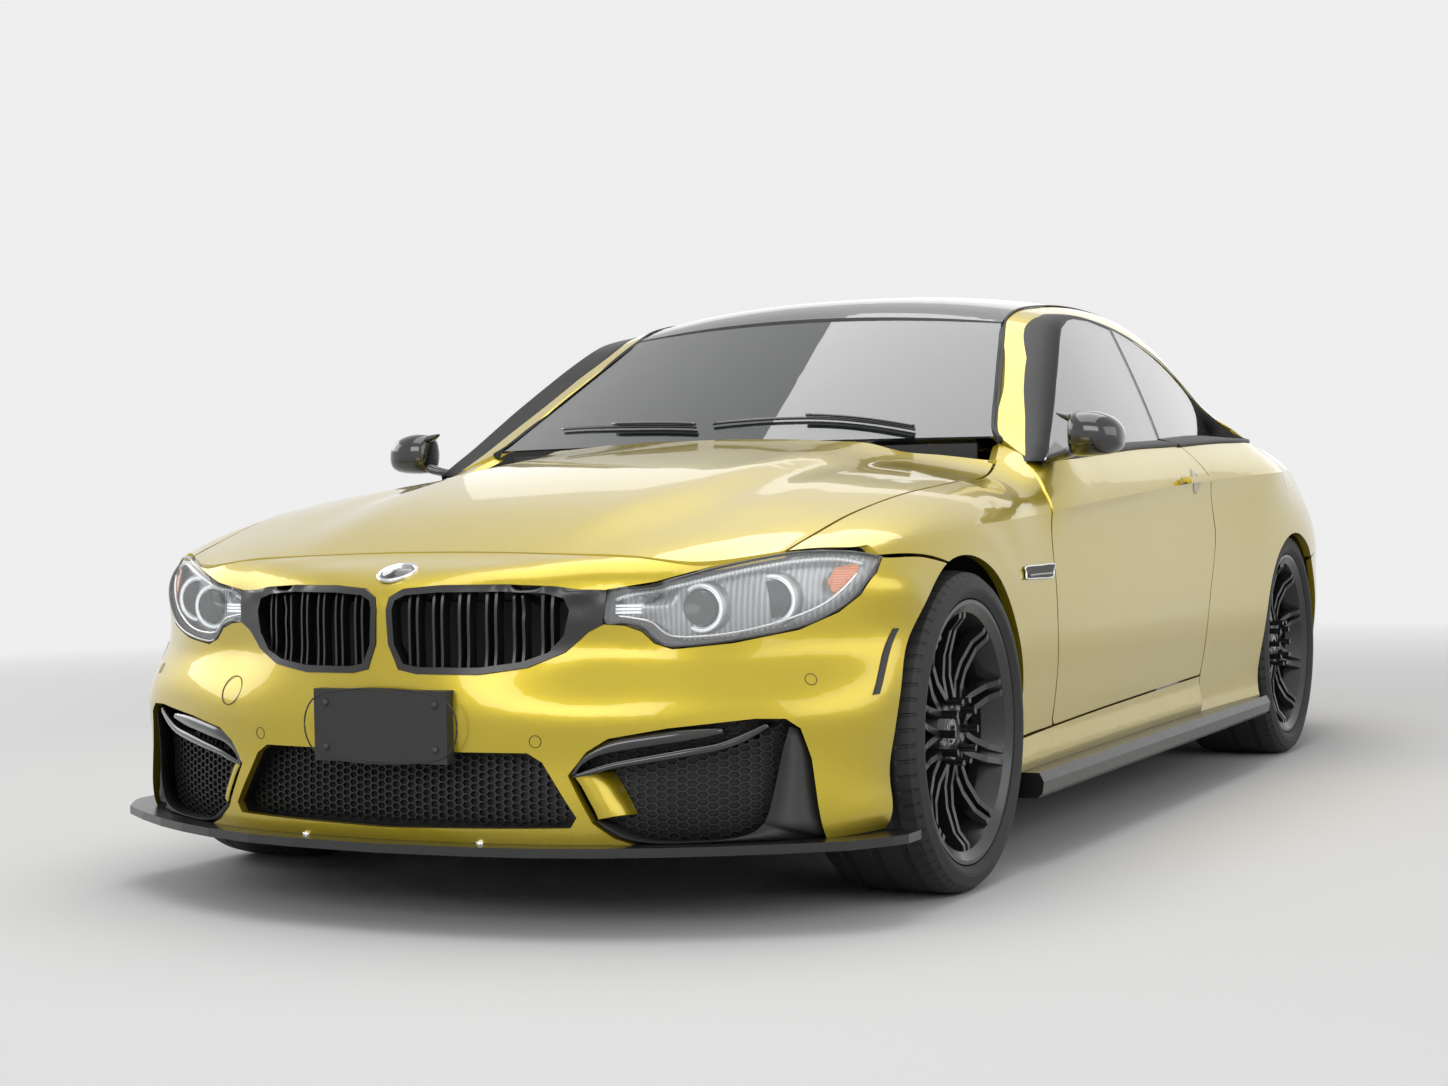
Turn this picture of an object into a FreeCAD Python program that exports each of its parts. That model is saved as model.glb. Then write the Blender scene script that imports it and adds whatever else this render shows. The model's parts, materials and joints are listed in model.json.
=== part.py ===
import FreeCAD
import Part
import PartDesign
import Sketcher
import math
import os
import re

# Coupe car: rear wheels driven, two doors, four seats, standing on its four wheels.
# The front of the car faces -Y, its left side is +X and the ground is z = 0.
# The origin lies on the ground, midway between the splitter's lip and the rear bumper.

doc = FreeCAD.newDocument("coupe_car")
sheet = doc.addObject("Spreadsheet::Sheet", "Sizes")

DRIVING_SIZES = [
    # the whole car
    ("wheelbase", 2812.0), ("front_overhang", 799.0), ("rear_overhang", 1060.0),
    ("body_width", 1870.0), ("roof_height", 1375.0), ("splitter_reach", 45.0),
    # panels and glass
    ("panel_gap", 5.6), ("panel_depth", 20.0), ("door_depth", 92.0), ("glass_thickness", 5.0),
    ("roof_depth", 26.0), ("lens_thickness", 4.0), ("seal_gap", 0.3),
    # wheels and tyres
    ("front_tyre_radius", 330.5), ("rear_tyre_radius", 336.5),
    ("front_tyre_width", 255.0), ("rear_tyre_width", 275.0),
    ("front_wheel_inset", 20.0), ("rear_wheel_inset", 18.0),
    ("rim_radius", 254.0), ("rim_flange", 17.5), ("spoke_pairs", 10.0), ("spoke_width", 13.0),
    ("spoke_spacing_hub", 42.0), ("spoke_spacing_rim", 24.0), ("hub_radius", 66.0), ("hub_set_back", 40.0),
    ("lip_set_back", 12.0), ("rim_wall", 9.0), ("rim_drop", 17.0), ("cap_radius", 35.0), ("bead_gap", 0.2),
    ("front_arch_gap", 27.5), ("rear_arch_gap", 15.5),
    # brakes, hubs and axles
    ("disc_radius", 190.0), ("disc_thickness", 30.0), ("hat_radius", 84.0), ("hub_depth", 60.0),
    ("axle_radius", 24.0), ("axle_length", 95.0), ("bearing_gap", 0.05), ("running_gap", 5.0), ("pin_radius", 12.0), ("hinge_pin_radius", 6.0),
]
for row, (alias, value) in enumerate(DRIVING_SIZES, start=1):
    sheet.set("A%d" % row, alias)
    sheet.set("B%d" % row, str(value))
    sheet.setAlias("B%d" % row, alias)
doc.recompute()


def size(alias):
    return float(getattr(sheet, alias))


V = FreeCAD.Vector
X_AXIS = V(1, 0, 0)
Y_AXIS = V(0, 1, 0)
Z_AXIS = V(0, 0, 1)

# The body's form is written for the stock car, with y from the point midway between the axles.
# place() carries a stock point to the car with the driving sizes above.
AXLE = 1406.0
STOCK_FRONT = 799.0
STOCK_REAR = 1060.0
STOCK_WIDTH = 1870.0
STOCK_HEIGHT = 1375.0
MIDDLE = (size("front_overhang") + size("splitter_reach") - size("rear_overhang")) / 2


def place_y(y):
    half = size("wheelbase") / 2
    if y < -AXLE:
        return MIDDLE - half + (y + AXLE) * size("front_overhang") / STOCK_FRONT
    if y > AXLE:
        return MIDDLE + half + (y - AXLE) * size("rear_overhang") / STOCK_REAR
    return MIDDLE + y * half / AXLE


def place_x(x):
    return x * size("body_width") / STOCK_WIDTH


def place_z(z):
    return z * size("roof_height") / STOCK_HEIGHT


def place(x, y, z):
    return V(place_x(x), place_y(y), place_z(z))


def curve(*knots):
    """A smooth function through (place, value) knots, straight beyond its ends."""
    xs = [k[0] for k in knots]
    ys = [k[1] for k in knots]
    n = len(xs)
    steps = [(ys[i + 1] - ys[i]) / (xs[i + 1] - xs[i]) for i in range(n - 1)]
    slopes = [steps[0]] + [0.0] * (n - 2) + [steps[-1]]
    for i in range(1, n - 1):
        before = xs[i] - xs[i - 1]
        after = xs[i + 1] - xs[i]
        slopes[i] = (steps[i - 1] * after + steps[i] * before) / (before + after)

    def value(t):
        if t <= xs[0]:
            return ys[0] + slopes[0] * (t - xs[0])
        if t >= xs[-1]:
            return ys[-1] + slopes[-1] * (t - xs[-1])
        i = 0
        while xs[i + 1] < t:
            i += 1
        span = xs[i + 1] - xs[i]
        u = (t - xs[i]) / span
        a = slopes[i] * span
        b = slopes[i + 1] * span
        rise = ys[i + 1] - ys[i]
        return ys[i] + u * (a + u * (3 * rise - 2 * a - b + u * (a + b - 2 * rise)))

    return value


def blend_max(a, b, width):
    """The larger of two distances, with the corner between them rounded over width."""
    h = max(width - abs(a - b), 0.0) / width
    return max(a, b) + h * h * h * width / 6


def blend_min(a, b, width):
    return -blend_max(-a, -b, width)


def step(t, lo, hi):
    """0 below lo, 1 above hi, and a smooth rise between."""
    u = min(max((t - lo) / (hi - lo), 0.0), 1.0)
    return u * u * (3 - 2 * u)


def bump(t, centre, reach):
    """1 at centre, falling smoothly to 0 at reach from it."""
    u = min(abs(t - centre) / reach, 1.0)
    return (1 - u * u) ** 2


# The body's sides: half width at hub height, height of the shoulder crease, height of the lower
# edge of the side windows, and how far in that edge lies.
plan = curve((-2300, 790), (-2100, 845), (-1900, 876), (-1737, 894), (-1406, 906), (-1067, 902),
             (-855, 898), (-400, 893), (100, 892), (500, 897), (850, 910), (1150, 926), (1406, 935),
             (1600, 932), (1750, 917), (1850, 899), (1950, 873), (2100, 832), (2250, 785), (2500, 700))
swage = curve((-2200, 700), (-1750, 735), (-1406, 752), (-1067, 762), (-870, 771), (-500, 790),
              (200, 823), (540, 838), (970, 851), (1406, 862), (2000, 872), (2500, 876))
belt = curve((-2200, 800), (-900, 878), (-565, 897), (-250, 912), (380, 936), (924, 955),
             (1350, 961), (1800, 967), (2500, 975))
shoulder = curve((-2200, -52), (-900, -52), (-565, -56), (380, -74), (1500, -88), (2500, -90))
sections = {}


def section(y):
    """The side's cross-section at y: its half width, less plan(y), by height."""
    key = round(y, 3)
    if key not in sections:
        s = swage(y)
        rise = belt(y) - s
        flare = max(bump(y, -AXLE, 560), bump(y, AXLE, 800))
        roll = step(y, 1150, 1750)
        sections[key] = curve(
            (100, -70), (170, -38), (210, -18), (285, -23), (345, -12), (440, -1), (560, 0),
            (660, -5 + 4 * flare), (s - 55, -13 + 7 * flare - 46 * roll), (s, -5 - 2 * flare - 78 * roll),
            (s + 0.5 * rise, 0.42 * shoulder(y) - 14 * flare - 92 * roll),
            (s + rise, shoulder(y) - 20 * flare - 105 * roll),
            (s + 2 * rise, 2.4 * shoulder(y) - 110 * roll))
    return sections[key]


def side(y, z):
    """Half width of the lower body."""
    return plan(y) + section(y)(z)


# Height of the bonnet, scuttle and boot along the middle, and how far they fall by the side shut.
spine = curve((-2205, 668), (-2138, 690), (-2025, 723), (-1880, 772), (-1700, 818), (-1406, 872),
              (-1067, 916), (-800, 950), (-600, 985), (-450, 1010), (1500, 1020), (1650, 1008),
              (1800, 995), (2000, 988), (2200, 984), (2330, 985), (2400, 990), (2466, 992))
crown = curve((-2205, 20), (-2000, 48), (-1873, 57), (-1600, 50), (-1400, 48), (-1060, 62), (-800, 80),
              (-600, 50), (-450, 25), (1500, 20), (1800, 35), (2400, 44))
dome_edge = curve((-2205, 330), (-2025, 345), (-1500, 395), (-800, 470), (-600, 490))
DOME_HEIGHT = 15.0
CROWN_WIDTH = 740.0


def top(x, y):
    """Height of the bonnet or boot."""
    x = abs(x)
    z = spine(y) - crown(y) * (x / CROWN_WIDTH) ** 2.3
    if y < 0:
        e = dome_edge(y)
        depth = DOME_HEIGHT * step(y, -2060, -1750)
        z += depth * (1 - step(x, e - 55, e + 45)) - 0.4 * depth
    return z


# The nose seen from above, low at the bumper and high at the lamps, and its lean by height.
low_nose = curve((0, -2204), (200, -2191), (320, -2171), (450, -2130), (550, -2085), (650, -2030),
                 (756, -1958), (850, -1872), (930, -1780))
high_nose = curve((0, -2204), (120, -2190), (240, -2154), (420, -2082), (550, -2030), (650, -1968),
                  (750, -1884), (850, -1785), (930, -1690))
nose_lean = curve((100, 40), (170, 8), (220, 0), (330, 3), (420, 0), (520, 2), (600, 0), (660, 8),
                  (700, 22), (760, 60))


def nose(x, z):
    """How far forward the body reaches."""
    up = step(z, 400, 560)
    return low_nose(x) * (1 - up) + high_nose(x) * up + nose_lean(z)


tail_plan = curve((0, 2464), (300, 2450), (500, 2424), (650, 2380), (780, 2300), (860, 2210), (930, 2090))
tail_lean = curve((100, -110), (180, -60), (300, -14), (450, 0), (560, -8), (620, -34), (660, -62),
                  (720, -78), (860, -92), (940, -84), (985, -66))


def tail(x, z):
    """How far back the body reaches."""
    return tail_plan(x) + tail_lean(z)


def lower_body(x, y, z):
    """Below zero inside the body under the windows, above zero outside."""
    x = abs(x)
    rounding = 190 - 110 * step(y, -900, -500) + 20 * step(y, 1700, 2000)
    f = blend_max(x - side(y, z), z - top(x, y), rounding)
    if y < -1300:
        f = blend_max(f, nose(x, z) - y, 150 - 90 * step(z, 560, 640))
    if y > 1500:
        f = blend_max(f, y - tail(x, z), 110 - 60 * step(z, 600, 700))
    return f


roof = curve((-300, 1282), (-184, 1306), (0, 1338), (250, 1366), (500, 1375), (800, 1360), (1100, 1312),
             (1400, 1236), (1700, 1150))
glass_belt = curve((-900, 815), (-650, 812), (0, 803), (520, 777), (900, 750), (1290, 714), (1700, 672),
                   (2000, 640))


def cabin(x, y, z):
    """Below zero inside the roof and windows."""
    x = abs(x)
    h = max(z - 950, -60.0)
    a = x - (glass_belt(y) - 0.36 * h - 0.00022 * h * abs(h))
    b = z - (roof(y) - 62 * (x / 600.0) ** 2.2)
    c = (-746 + 1.873 * (z - 963) + 3.6e-4 * x * x) - y
    d = y - (1790 - 2.26 * max(z - 985, -45.0) - 4.2e-4 * x * x)
    f = blend_max(a, b, 120)
    f = blend_max(f, c * 0.47, 40)
    return blend_max(f, d * 0.4, 70)


def body(x, y, z):
    """Below zero inside the whole outer skin."""
    if y < -1100:
        return lower_body(x, y, z)
    return blend_min(lower_body(x, y, z), cabin(x, y, z), 20 + 110 * step(y, 900, 1500))


def on_skin(start, toward, form=body):
    """The point of the skin on the line from start, inside, through toward."""
    d = [t - s for t, s in zip(toward, start)]
    n = math.sqrt(sum(v * v for v in d))
    d = [v / n for v in d]
    lo = 0.0
    f_lo = form(*start)
    hi = max(n * 0.8, 50.0)
    f_hi = form(*[s + v * hi for s, v in zip(start, d)])
    while f_hi < 0 and hi < 4000:
        lo = hi
        f_lo = f_hi
        hi += 40
        f_hi = form(*[s + v * hi for s, v in zip(start, d)])
    while hi - lo > 0.01:
        t = (lo * f_hi - hi * f_lo) / (f_hi - f_lo)
        t = min(max(t, lo + 0.03 * (hi - lo)), hi - 0.03 * (hi - lo))
        f = form(*[s + v * t for s, v in zip(start, d)])
        if f < 0:
            lo = t
            f_lo = f
            f_hi *= 0.6
        else:
            hi = t
            f_hi = f
            f_lo *= 0.6
    t = 0.5 * (lo + hi)
    return [s + v * t for s, v in zip(start, d)]


# Where the rays that find each panel start, by the way the panel faces.
FACING = {
    "out": lambda x, y, z: (0.0, y, z),
    "up": lambda x, y, z: (x, y, z - 260.0),
    "fan": lambda x, y, z: (0.3 * x, y, 0.4 * z + 330.0),
    "rail": lambda x, y, z: (0.3 * x, y, z - 330.0),
    "nose": lambda x, y, z: (0.72 * x, -1560.0, 0.25 * z + 170.0),
    "tail": lambda x, y, z: (0.72 * x, 1700.0, 0.35 * z + 230.0),
    "corner": lambda x, y, z: (0.45 * x, min(y, lerp(1380.0, 2000.0, min(max((y - 1380.0) / 900.0, 0), 1))), 0.35 * z + 380.0),
    "lid": lambda x, y, z: (0.85 * x, 1980.0, 640.0),
    "screen": lambda x, y, z: (0.85 * x, y + 130.0, z - 260.0),
    "backlight": lambda x, y, z: (0.85 * x, y - 110.0, z - 260.0),
}


def skin_point(facing, target, depth, form=body):
    """The skin's point nearest to target along its ray, and the point depth behind it."""
    start = FACING[facing](*target)
    p = on_skin(start, target, form)
    n = math.sqrt(sum((a - b) ** 2 for a, b in zip(p, start)))
    q = [a + (b - a) / n * depth for a, b in zip(p, start)]
    return place(*p), place(*q)


def through(points, parameters):
    c = Part.BSplineCurve()
    c.interpolate(Points=points, Parameters=parameters)
    return c


def surface(grid, us, vs):
    """The smooth surface through a grid of points."""
    rows = [through(row, vs) for row in grid]
    poles = [row.getPoles() for row in rows]
    columns = [through([row[i] for row in poles], us) for i in range(len(poles[0]))]
    net = [column.getPoles() for column in columns]
    turned = [[column[j] for column in net] for j in range(len(net[0]))]
    s = Part.BSplineSurface()
    s.buildFromPolesMultsKnots(turned, columns[0].getMultiplicities(), rows[0].getMultiplicities(),
                               columns[0].getKnots(), rows[0].getKnots(), False, False, 3, 3)
    return s


def fractions(points):
    """How far along a row of points each lies, from 0 to 1."""
    at = [0.0]
    for a, b in zip(points, points[1:]):
        at.append(at[-1] + a.distanceToPoint(b))
    return [t / at[-1] for t in at]


def solid_of(faces):
    shell = Part.makeShell(faces)
    shell.sewShape(0.02)
    solid = Part.Solid(Part.Shell(shell.Faces))
    if solid.Volume < 0:
        solid.reverse()
    return solid


def thick(outer_strips, inner_strips):
    """A solid between two sheets of matching strips; strips lie side by side along v."""
    first = outer_strips[0]
    us = fractions([row[0] for row in first])
    faces = []
    for outer, inner in zip(outer_strips, inner_strips):
        vs = fractions(outer[len(outer) // 2])
        faces.append(surface(outer, us, vs).toShape())
        faces.append(surface(inner, us, vs).toShape())
        for row in (0, -1):
            a = through(outer[row], vs).toShape()
            b = through(inner[row], vs).toShape()
            faces.append(Part.makeRuledSurface(a, b))
    for outer, inner, side_column in ((outer_strips[0], inner_strips[0], 0),
                                      (outer_strips[-1], inner_strips[-1], -1)):
        a = through([row[side_column] for row in outer], us).toShape()
        b = through([row[side_column] for row in inner], us).toShape()
        faces.append(Part.makeRuledSurface(a, b))
    return solid_of(faces)


def panel(facing, strips, columns, depth, form=body):
    """A panel of the skin: each strip gives stock points for u from 0 to 1 and its rows' v."""
    outer_strips = []
    inner_strips = []
    for target, rows in strips:
        outer = []
        inner = []
        for i in range(columns + 1):
            u = i / columns
            pairs = [skin_point(facing, target(u, j / rows), depth, form) for j in range(rows + 1)]
            if outer_strips:
                pairs[0] = (outer_strips[-1][i][-1], inner_strips[-1][i][-1])
            outer.append([p for p, _ in pairs])
            inner.append([q for _, q in pairs])
        outer_strips.append(outer)
        inner_strips.append(inner)
    return thick(outer_strips, inner_strips)


def lerp(a, b, t):
    return a + (b - a) * t


def along(points):
    """A function of 0 to 1 that runs smoothly through stock points, by their spacing."""
    at = [0.0]
    for p, q in zip(points, points[1:]):
        at.append(at[-1] + math.dist(p, q))
    parts = [curve(*[(t / at[-1], p[k]) for t, p in zip(at, points)]) for k in range(3)]
    return lambda t: [part(t) for part in parts]


def prism(outline, direction, low, high, smooth=False):
    """A solid with a closed stock outline of two coordinates, drawn out along x, y or z."""
    def at(p, w):
        if direction == "x":
            return place(w, p[0], p[1])
        if direction == "y":
            return place(p[0], w, p[1])
        return place(p[0], p[1], w)
    points = [at(p, low) for p in outline]
    if smooth:
        c = Part.BSplineCurve()
        c.interpolate(Points=points, PeriodicFlag=True)
        wire = Part.Wire([c.toShape()])
    else:
        wire = Part.makePolygon(points + [points[0]])
    return Part.Face(wire).extrude(at(outline[0], high) - at(outline[0], low))


def mirrored(shape):
    return shape.mirror(V(0, 0, 0), X_AXIS)


made = []


def part(name, shape):
    """Keeps a piece under its name."""
    piece = doc.addObject("Part::Feature", name)
    piece.Label = name
    piece.Shape = shape
    made.append(piece)
    return piece


SPLINTER = 3000.0


def solids(shapes):
    """One shape of all the solids in shapes, without the splinters that cutting leaves."""
    return Part.makeCompound([s for shape in shapes for s in shape.Solids if s.Volume > SPLINTER])


def box(low, high):
    a = place(*low)
    b = place(*high)
    return Part.makeBox(b.x - a.x, b.y - a.y, b.z - a.z, a)


GAP = size("panel_gap") / 2

DEPTH = size("panel_depth")


def coons(bottom, upper, front, rear):
    """The points of a four-sided patch between its edges: bottom and upper by u, front and rear by v."""
    corners = [bottom(0), bottom(1), upper(0), upper(1)]

    def target(u, v):
        b, t, f, r = bottom(u), upper(u), front(v), rear(v)
        point = []
        for k in range(3):
            flat = lerp(lerp(corners[0][k], corners[1][k], u), lerp(corners[2][k], corners[3][k], u), v)
            point.append(lerp(b[k], t[k], v) + lerp(f[k], r[k], u) - flat)
        return point
    return target


def straight(a, b):
    return lambda t: [lerp(p, q, t) for p, q in zip(a, b)]


def on_side(y, z):
    return (side(y, z), y, z)


# Shut lines, in stock coordinates.
door_front = curve((280, -800), (440, -806), (663, -806), (728, -796), (809, -766), (872, -698), (900, -664))
door_rear = curve((300, 480), (400, 490), (480, 508), (563, 545), (640, 592), (700, 616), (750, 612),
                  (790, 598), (850, 565), (900, 528), (960, 490))
sill_line = curve((-1100, 277), (-859, 283), (376, 303), (1100, 317))
bonnet_front = curve((0, -2025), (380, -2016), (612, -1965), (707, -1873))
bonnet_side = curve((-1873, 707), (-1665, 727), (-1400, 748), (-1060, 750), (-804, 736), (-720, 722))
bonnet_rear = curve((0, -800), (400, -776), (700, -722))
SILL_BOTTOM = 205.0
SILL_DEPTH = 36.0
FRONT_ARCH_HEIGHT = 335.0
REAR_ARCH_HEIGHT = 322.0
bumper_joint = curve((-1880, 714), (-1736, 707), (-1628, 701), (-1552, 691), (-1480, 675))
lid_side = curve((1740, 628), (1900, 622), (2100, 612), (2300, 600), (2400, 590))


def arch(height, radius, y):
    """What a wheel arch takes out of the body."""
    centre = V(-2000, place_y(y), place_z(height))
    round_part = Part.makeCylinder(radius, 4000, centre, X_AXIS)
    below = Part.makeBox(4000, 2 * radius, place_z(height), V(-2000, place_y(y) - radius, 0))
    return round_part.fuse(below)


FRONT_ARCH = size("front_tyre_radius") + size("front_arch_gap")
REAR_ARCH = size("rear_tyre_radius") + size("rear_arch_gap")
front_arch = arch(FRONT_ARCH_HEIGHT, FRONT_ARCH, -AXLE)
rear_arch = arch(REAR_ARCH_HEIGHT, REAR_ARCH, AXLE)

# The side windows' black frame, seen from the side as (y, z), its belt edge last.
WINDOW_TOP = [(-677, 889), (-610, 925), (-536, 969), (-360, 1080), (-180, 1187), (-69, 1244), (20, 1268),
              (95, 1277), (256, 1279), (520, 1261), (740, 1232), (953, 1192), (1120, 1142), (1240, 1090),
              (1330, 1030), (1380, 968)]
WINDOW = WINDOW_TOP + [(y, belt(y)) for y in range(1350, -650, -100)]
window_hole = prism(WINDOW, "x", 300, 1000)


DOOR_LIP = 20.0
DOOR_STEP = 15.0
DOOR_STATIONS = [300, 360, 420, 480, 540, 600, 650, 700, 740, 780, 820, 860, 885]
DOOR_REAR_FOOT = 312


def door_outline(grow):
    """The door's outline seen from the side as (y, z), moved out by grow."""
    front = [(door_front(z) - grow, z) for z in [270] + DOOR_STATIONS]
    rear = [(door_rear(z) + grow, z) for z in reversed([DOOR_REAR_FOOT] + DOOR_STATIONS[1:] + [915])]
    top = [(y, belt(y) - 2 + GAP + grow) for y in (-640, -560, -400, -200, 0, 200, 400, 500)]
    foot = [(y, sill_line(y) - grow) for y in (470, 200, -100, -400, -780)]
    return [p for p in front if p[1] > sill_line(-790) + 2] + top + [p for p in rear if p[1] < belt(520) - 4] + foot


def make_door():
    """The door: a thick slab of the body's side, cut to its outline."""
    rows = [lambda y: sill_line(y) - 6, swage, lambda y: belt(y) + 4]
    strips = []
    for low, high in zip(rows, rows[1:]):
        lower = lambda u, height=low: on_side(lerp(-830, 640, u), height(lerp(-830, 640, u)))
        upper = lambda u, height=high: on_side(lerp(-830, 640, u), height(lerp(-830, 640, u)))
        strips.append((coons(lower, upper, straight(lower(0), upper(0)), straight(lower(1), upper(1))), 6))
    slab = panel("out", strips, 12, size("door_depth"), lower_body).common(prism(door_outline(-GAP), "x", 500, 1100))
    behind = panel("out", strips, 12, size("door_depth"), lambda x, y, z: lower_body(x, y, z) + DOOR_LIP)
    edge = prism(door_outline(0.0), "x", 500, 1100).cut(prism(door_outline(-DOOR_STEP), "x", 400, 1200))
    return slab.cut(behind.common(edge))


# Body panels
BONNET_FRONT_GAP = 4.5
BONNET_LIP = 12.0


def bonnet_target(grow, front, rear, share=1.0):
    """The bonnet seen from above, its side, front and rear edges moved out; share is how far back it reaches."""
    def target(u, v):
        s = 2 * u - 1
        y_side = lerp(-1873, -722, v * share)
        x = s * (bonnet_side(y_side) + grow)
        y = lerp(bonnet_front(abs(x)) - front, bonnet_rear(abs(x)) + rear, v * share)
        return (x, y, top(x, y))
    return target


def make_bonnet():
    """The bonnet, thinner along its front edge, which swings a little forward as it opens."""
    bonnet = panel("up", [(bonnet_target(-GAP, -BONNET_FRONT_GAP, 0), 10)], 20, DEPTH, lower_body)
    under_lip = panel("up", [(bonnet_target(6, 12, 0, 0.06), 4)], 20, DEPTH, lambda x, y, z: lower_body(x, y, z) + BONNET_LIP)
    return bonnet.cut(under_lip)


def bonnet_space():
    """What the bonnet needs for itself, cut from the panels round it."""
    target = bonnet_target(GAP - 0.4, GAP - 0.4, 12)
    return panel("up", [(target, 10)], 20, DEPTH + 16, lambda x, y, z: lower_body(x, y, z) - 10)


SCREEN_CORNER = (694.0, -600.0, 948.0)


def make_fender(extra=0.0):
    foot = curve((-1740, 708), (-1628, 703), (-1552, 693), (-1480, 676), (-1300, 600), (-1150, 440), (-1080, 330),
                 (-1040, 288), (-1000, 283), (-900, 283), (-800, 284), (-700, 284))

    def bottom(u):
        y = lerp(-1736, -795, u)
        return on_side(y, foot(y) + GAP)

    def crease(u):
        y = lerp(-1736, door_front(775) + 8, u)
        return on_side(y, swage(y))

    def upper(u):
        y = lerp(-1874, SCREEN_CORNER[1], u)
        x = bonnet_side(y) + GAP if y < -722 else lerp(722 + GAP, SCREEN_CORNER[0], (y + 722) / 122)
        return (x, y, top(x, y))
    rear_low = straight(bottom(1), crease(1))
    rear_high = along([crease(1), (830, -740, 822), (806, -684, 872), (782, -655, 895), (740, -630, 925), upper(1)])
    front_low = straight(bottom(0), crease(0))
    front_high = along([crease(0), (810, -1772, 722), (757, -1823, 722), upper(0)])
    strips = [(coons(bottom, crease, front_low, rear_low), 6), (coons(crease, upper, front_high, rear_high), 8)]
    fender = panel("fan", strips, 16, DEPTH + extra, lower_body)
    if extra:
        return fender
    below = [(-1250, 277 + 0.9 * GAP), (-859, 283 + 0.9 * GAP), (-700, 284.5 + 0.9 * GAP), (-700, 100), (-1250, 100)]
    behind = [(785, -662), (694, -600), (600, -536), (600, -400), (785, -400)]
    fender = fender.cut(front_arch).cut(prism(door_outline(GAP), "x", 500, 1100))
    fender = fender.cut(prism(below, "x", 500, 1100)).cut(prism(behind, "z", 700, 1200))
    return fender.cut(bonnet_space())


PILLAR_JOINT = 1380.0
SCREEN_EDGE = [(722, -655, 915), (694, -600, 948), (666, -560, 972), (620, -400, 1060), (575, -240, 1160), (536, -95, 1256),
               (528, 0, 1292), (530, 200, 1318), (540, 500, 1322), (545, 800, 1300), (540, 1050, 1258), (545, 1250, 1200),
               (575, 1450, 1110), (606, 1620, 1040), (628, 1740, 992)]
screen_x = curve(*[(y, x) for x, y, z in SCREEN_EDGE])
screen_z = curve(*[(y, z) for x, y, z in SCREEN_EDGE])
SEAM = size("seal_gap")
CLEAR = 12.0


def screen_line(y, inset=0.0):
    return (screen_x(y) - inset, y, screen_z(y))


def make_rail(extra=0.0):
    """The windscreen pillar and the roof rail, from the scuttle back to the rear pillar."""
    low = along([(782, -666, 900), (764, -610, 925), (743, -536, 969), (690, -360, 1080), (640, -180, 1187),
                 (623, -69, 1244), (616, 20, 1268), (618, 95, 1277), (628, 256, 1279), (636, 520, 1261),
                 (640, 740, 1232), (645, 953, 1192), (650, 1120, 1142), (664, 1240, 1090), (690, 1330, 1030),
                 (715, PILLAR_JOINT, 972)])
    high = along([(726, -652, 912)] + [(x + GAP, y, z) for x, y, z in SCREEN_EDGE[1:12]] + [screen_line(PILLAR_JOINT)])
    target = coons(low, high, straight(low(0), high(0)), straight(low(1), high(1)))
    rail = panel("rail", [(target, 4)], 22, 22 + extra)
    if extra:
        return rail
    ahead = [(830, -692 + SEAM), (785, -662 + SEAM), (694, -600 + SEAM), (650, -570 + SEAM), (650, -760), (830, -760)]
    for space in (make_windscreen(SEAM, CLEAR), make_roof(SEAM, CLEAR), make_rear_screen(SEAM, CLEAR)):
        rail = rail.cut(space)
    return rail.cut(prism(ahead, "z", 700, 1200))


def make_quarter(extra=0.0):
    """The rear quarter under the side window, with the rear half of the sill."""
    def edge(height, front):
        return lambda u: on_side(lerp(front, PILLAR_JOINT - SEAM, u), height(lerp(front, PILLAR_JOINT - SEAM, u)))
    sill = edge(lambda y: SILL_BOTTOM, 485 + GAP)
    crease = edge(swage, 485 + GAP)
    ledge = edge(belt, 485 + GAP)
    low = coons(sill, crease, straight(sill(0), crease(0)), straight(sill(1), crease(1)))
    high = coons(crease, ledge, straight(crease(0), ledge(0)), straight(crease(1), ledge(1)))
    quarter = panel("out", [(low, 8), (high, 4)], 10, 22 + extra, lower_body)
    return quarter if extra else quarter.cut(prism(door_outline(GAP), "x", 500, 1100))


LID_HINGE = 1806.0
LID_HINGE_BEND = 4.2e-4
LID_FOOT = 640.0
LID_SWING = [(560, 1600), (607, 1600), (607, 1668), (560, 1668)]


def lid_plan(grow):
    """The boot lid seen from above as (x, y), moved out by grow."""
    stations = [1700, 1800, 1900, 2000, 2100, 2200, 2300, 2380, 2600]
    hinge = [(x, LID_HINGE - LID_HINGE_BEND * x * x - grow) for x in range(-600, 601, 100)]
    left = [(lid_side(y) + grow, y) for y in stations]
    return hinge + left + [(-x, y) for x, y in reversed(left)]


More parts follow.
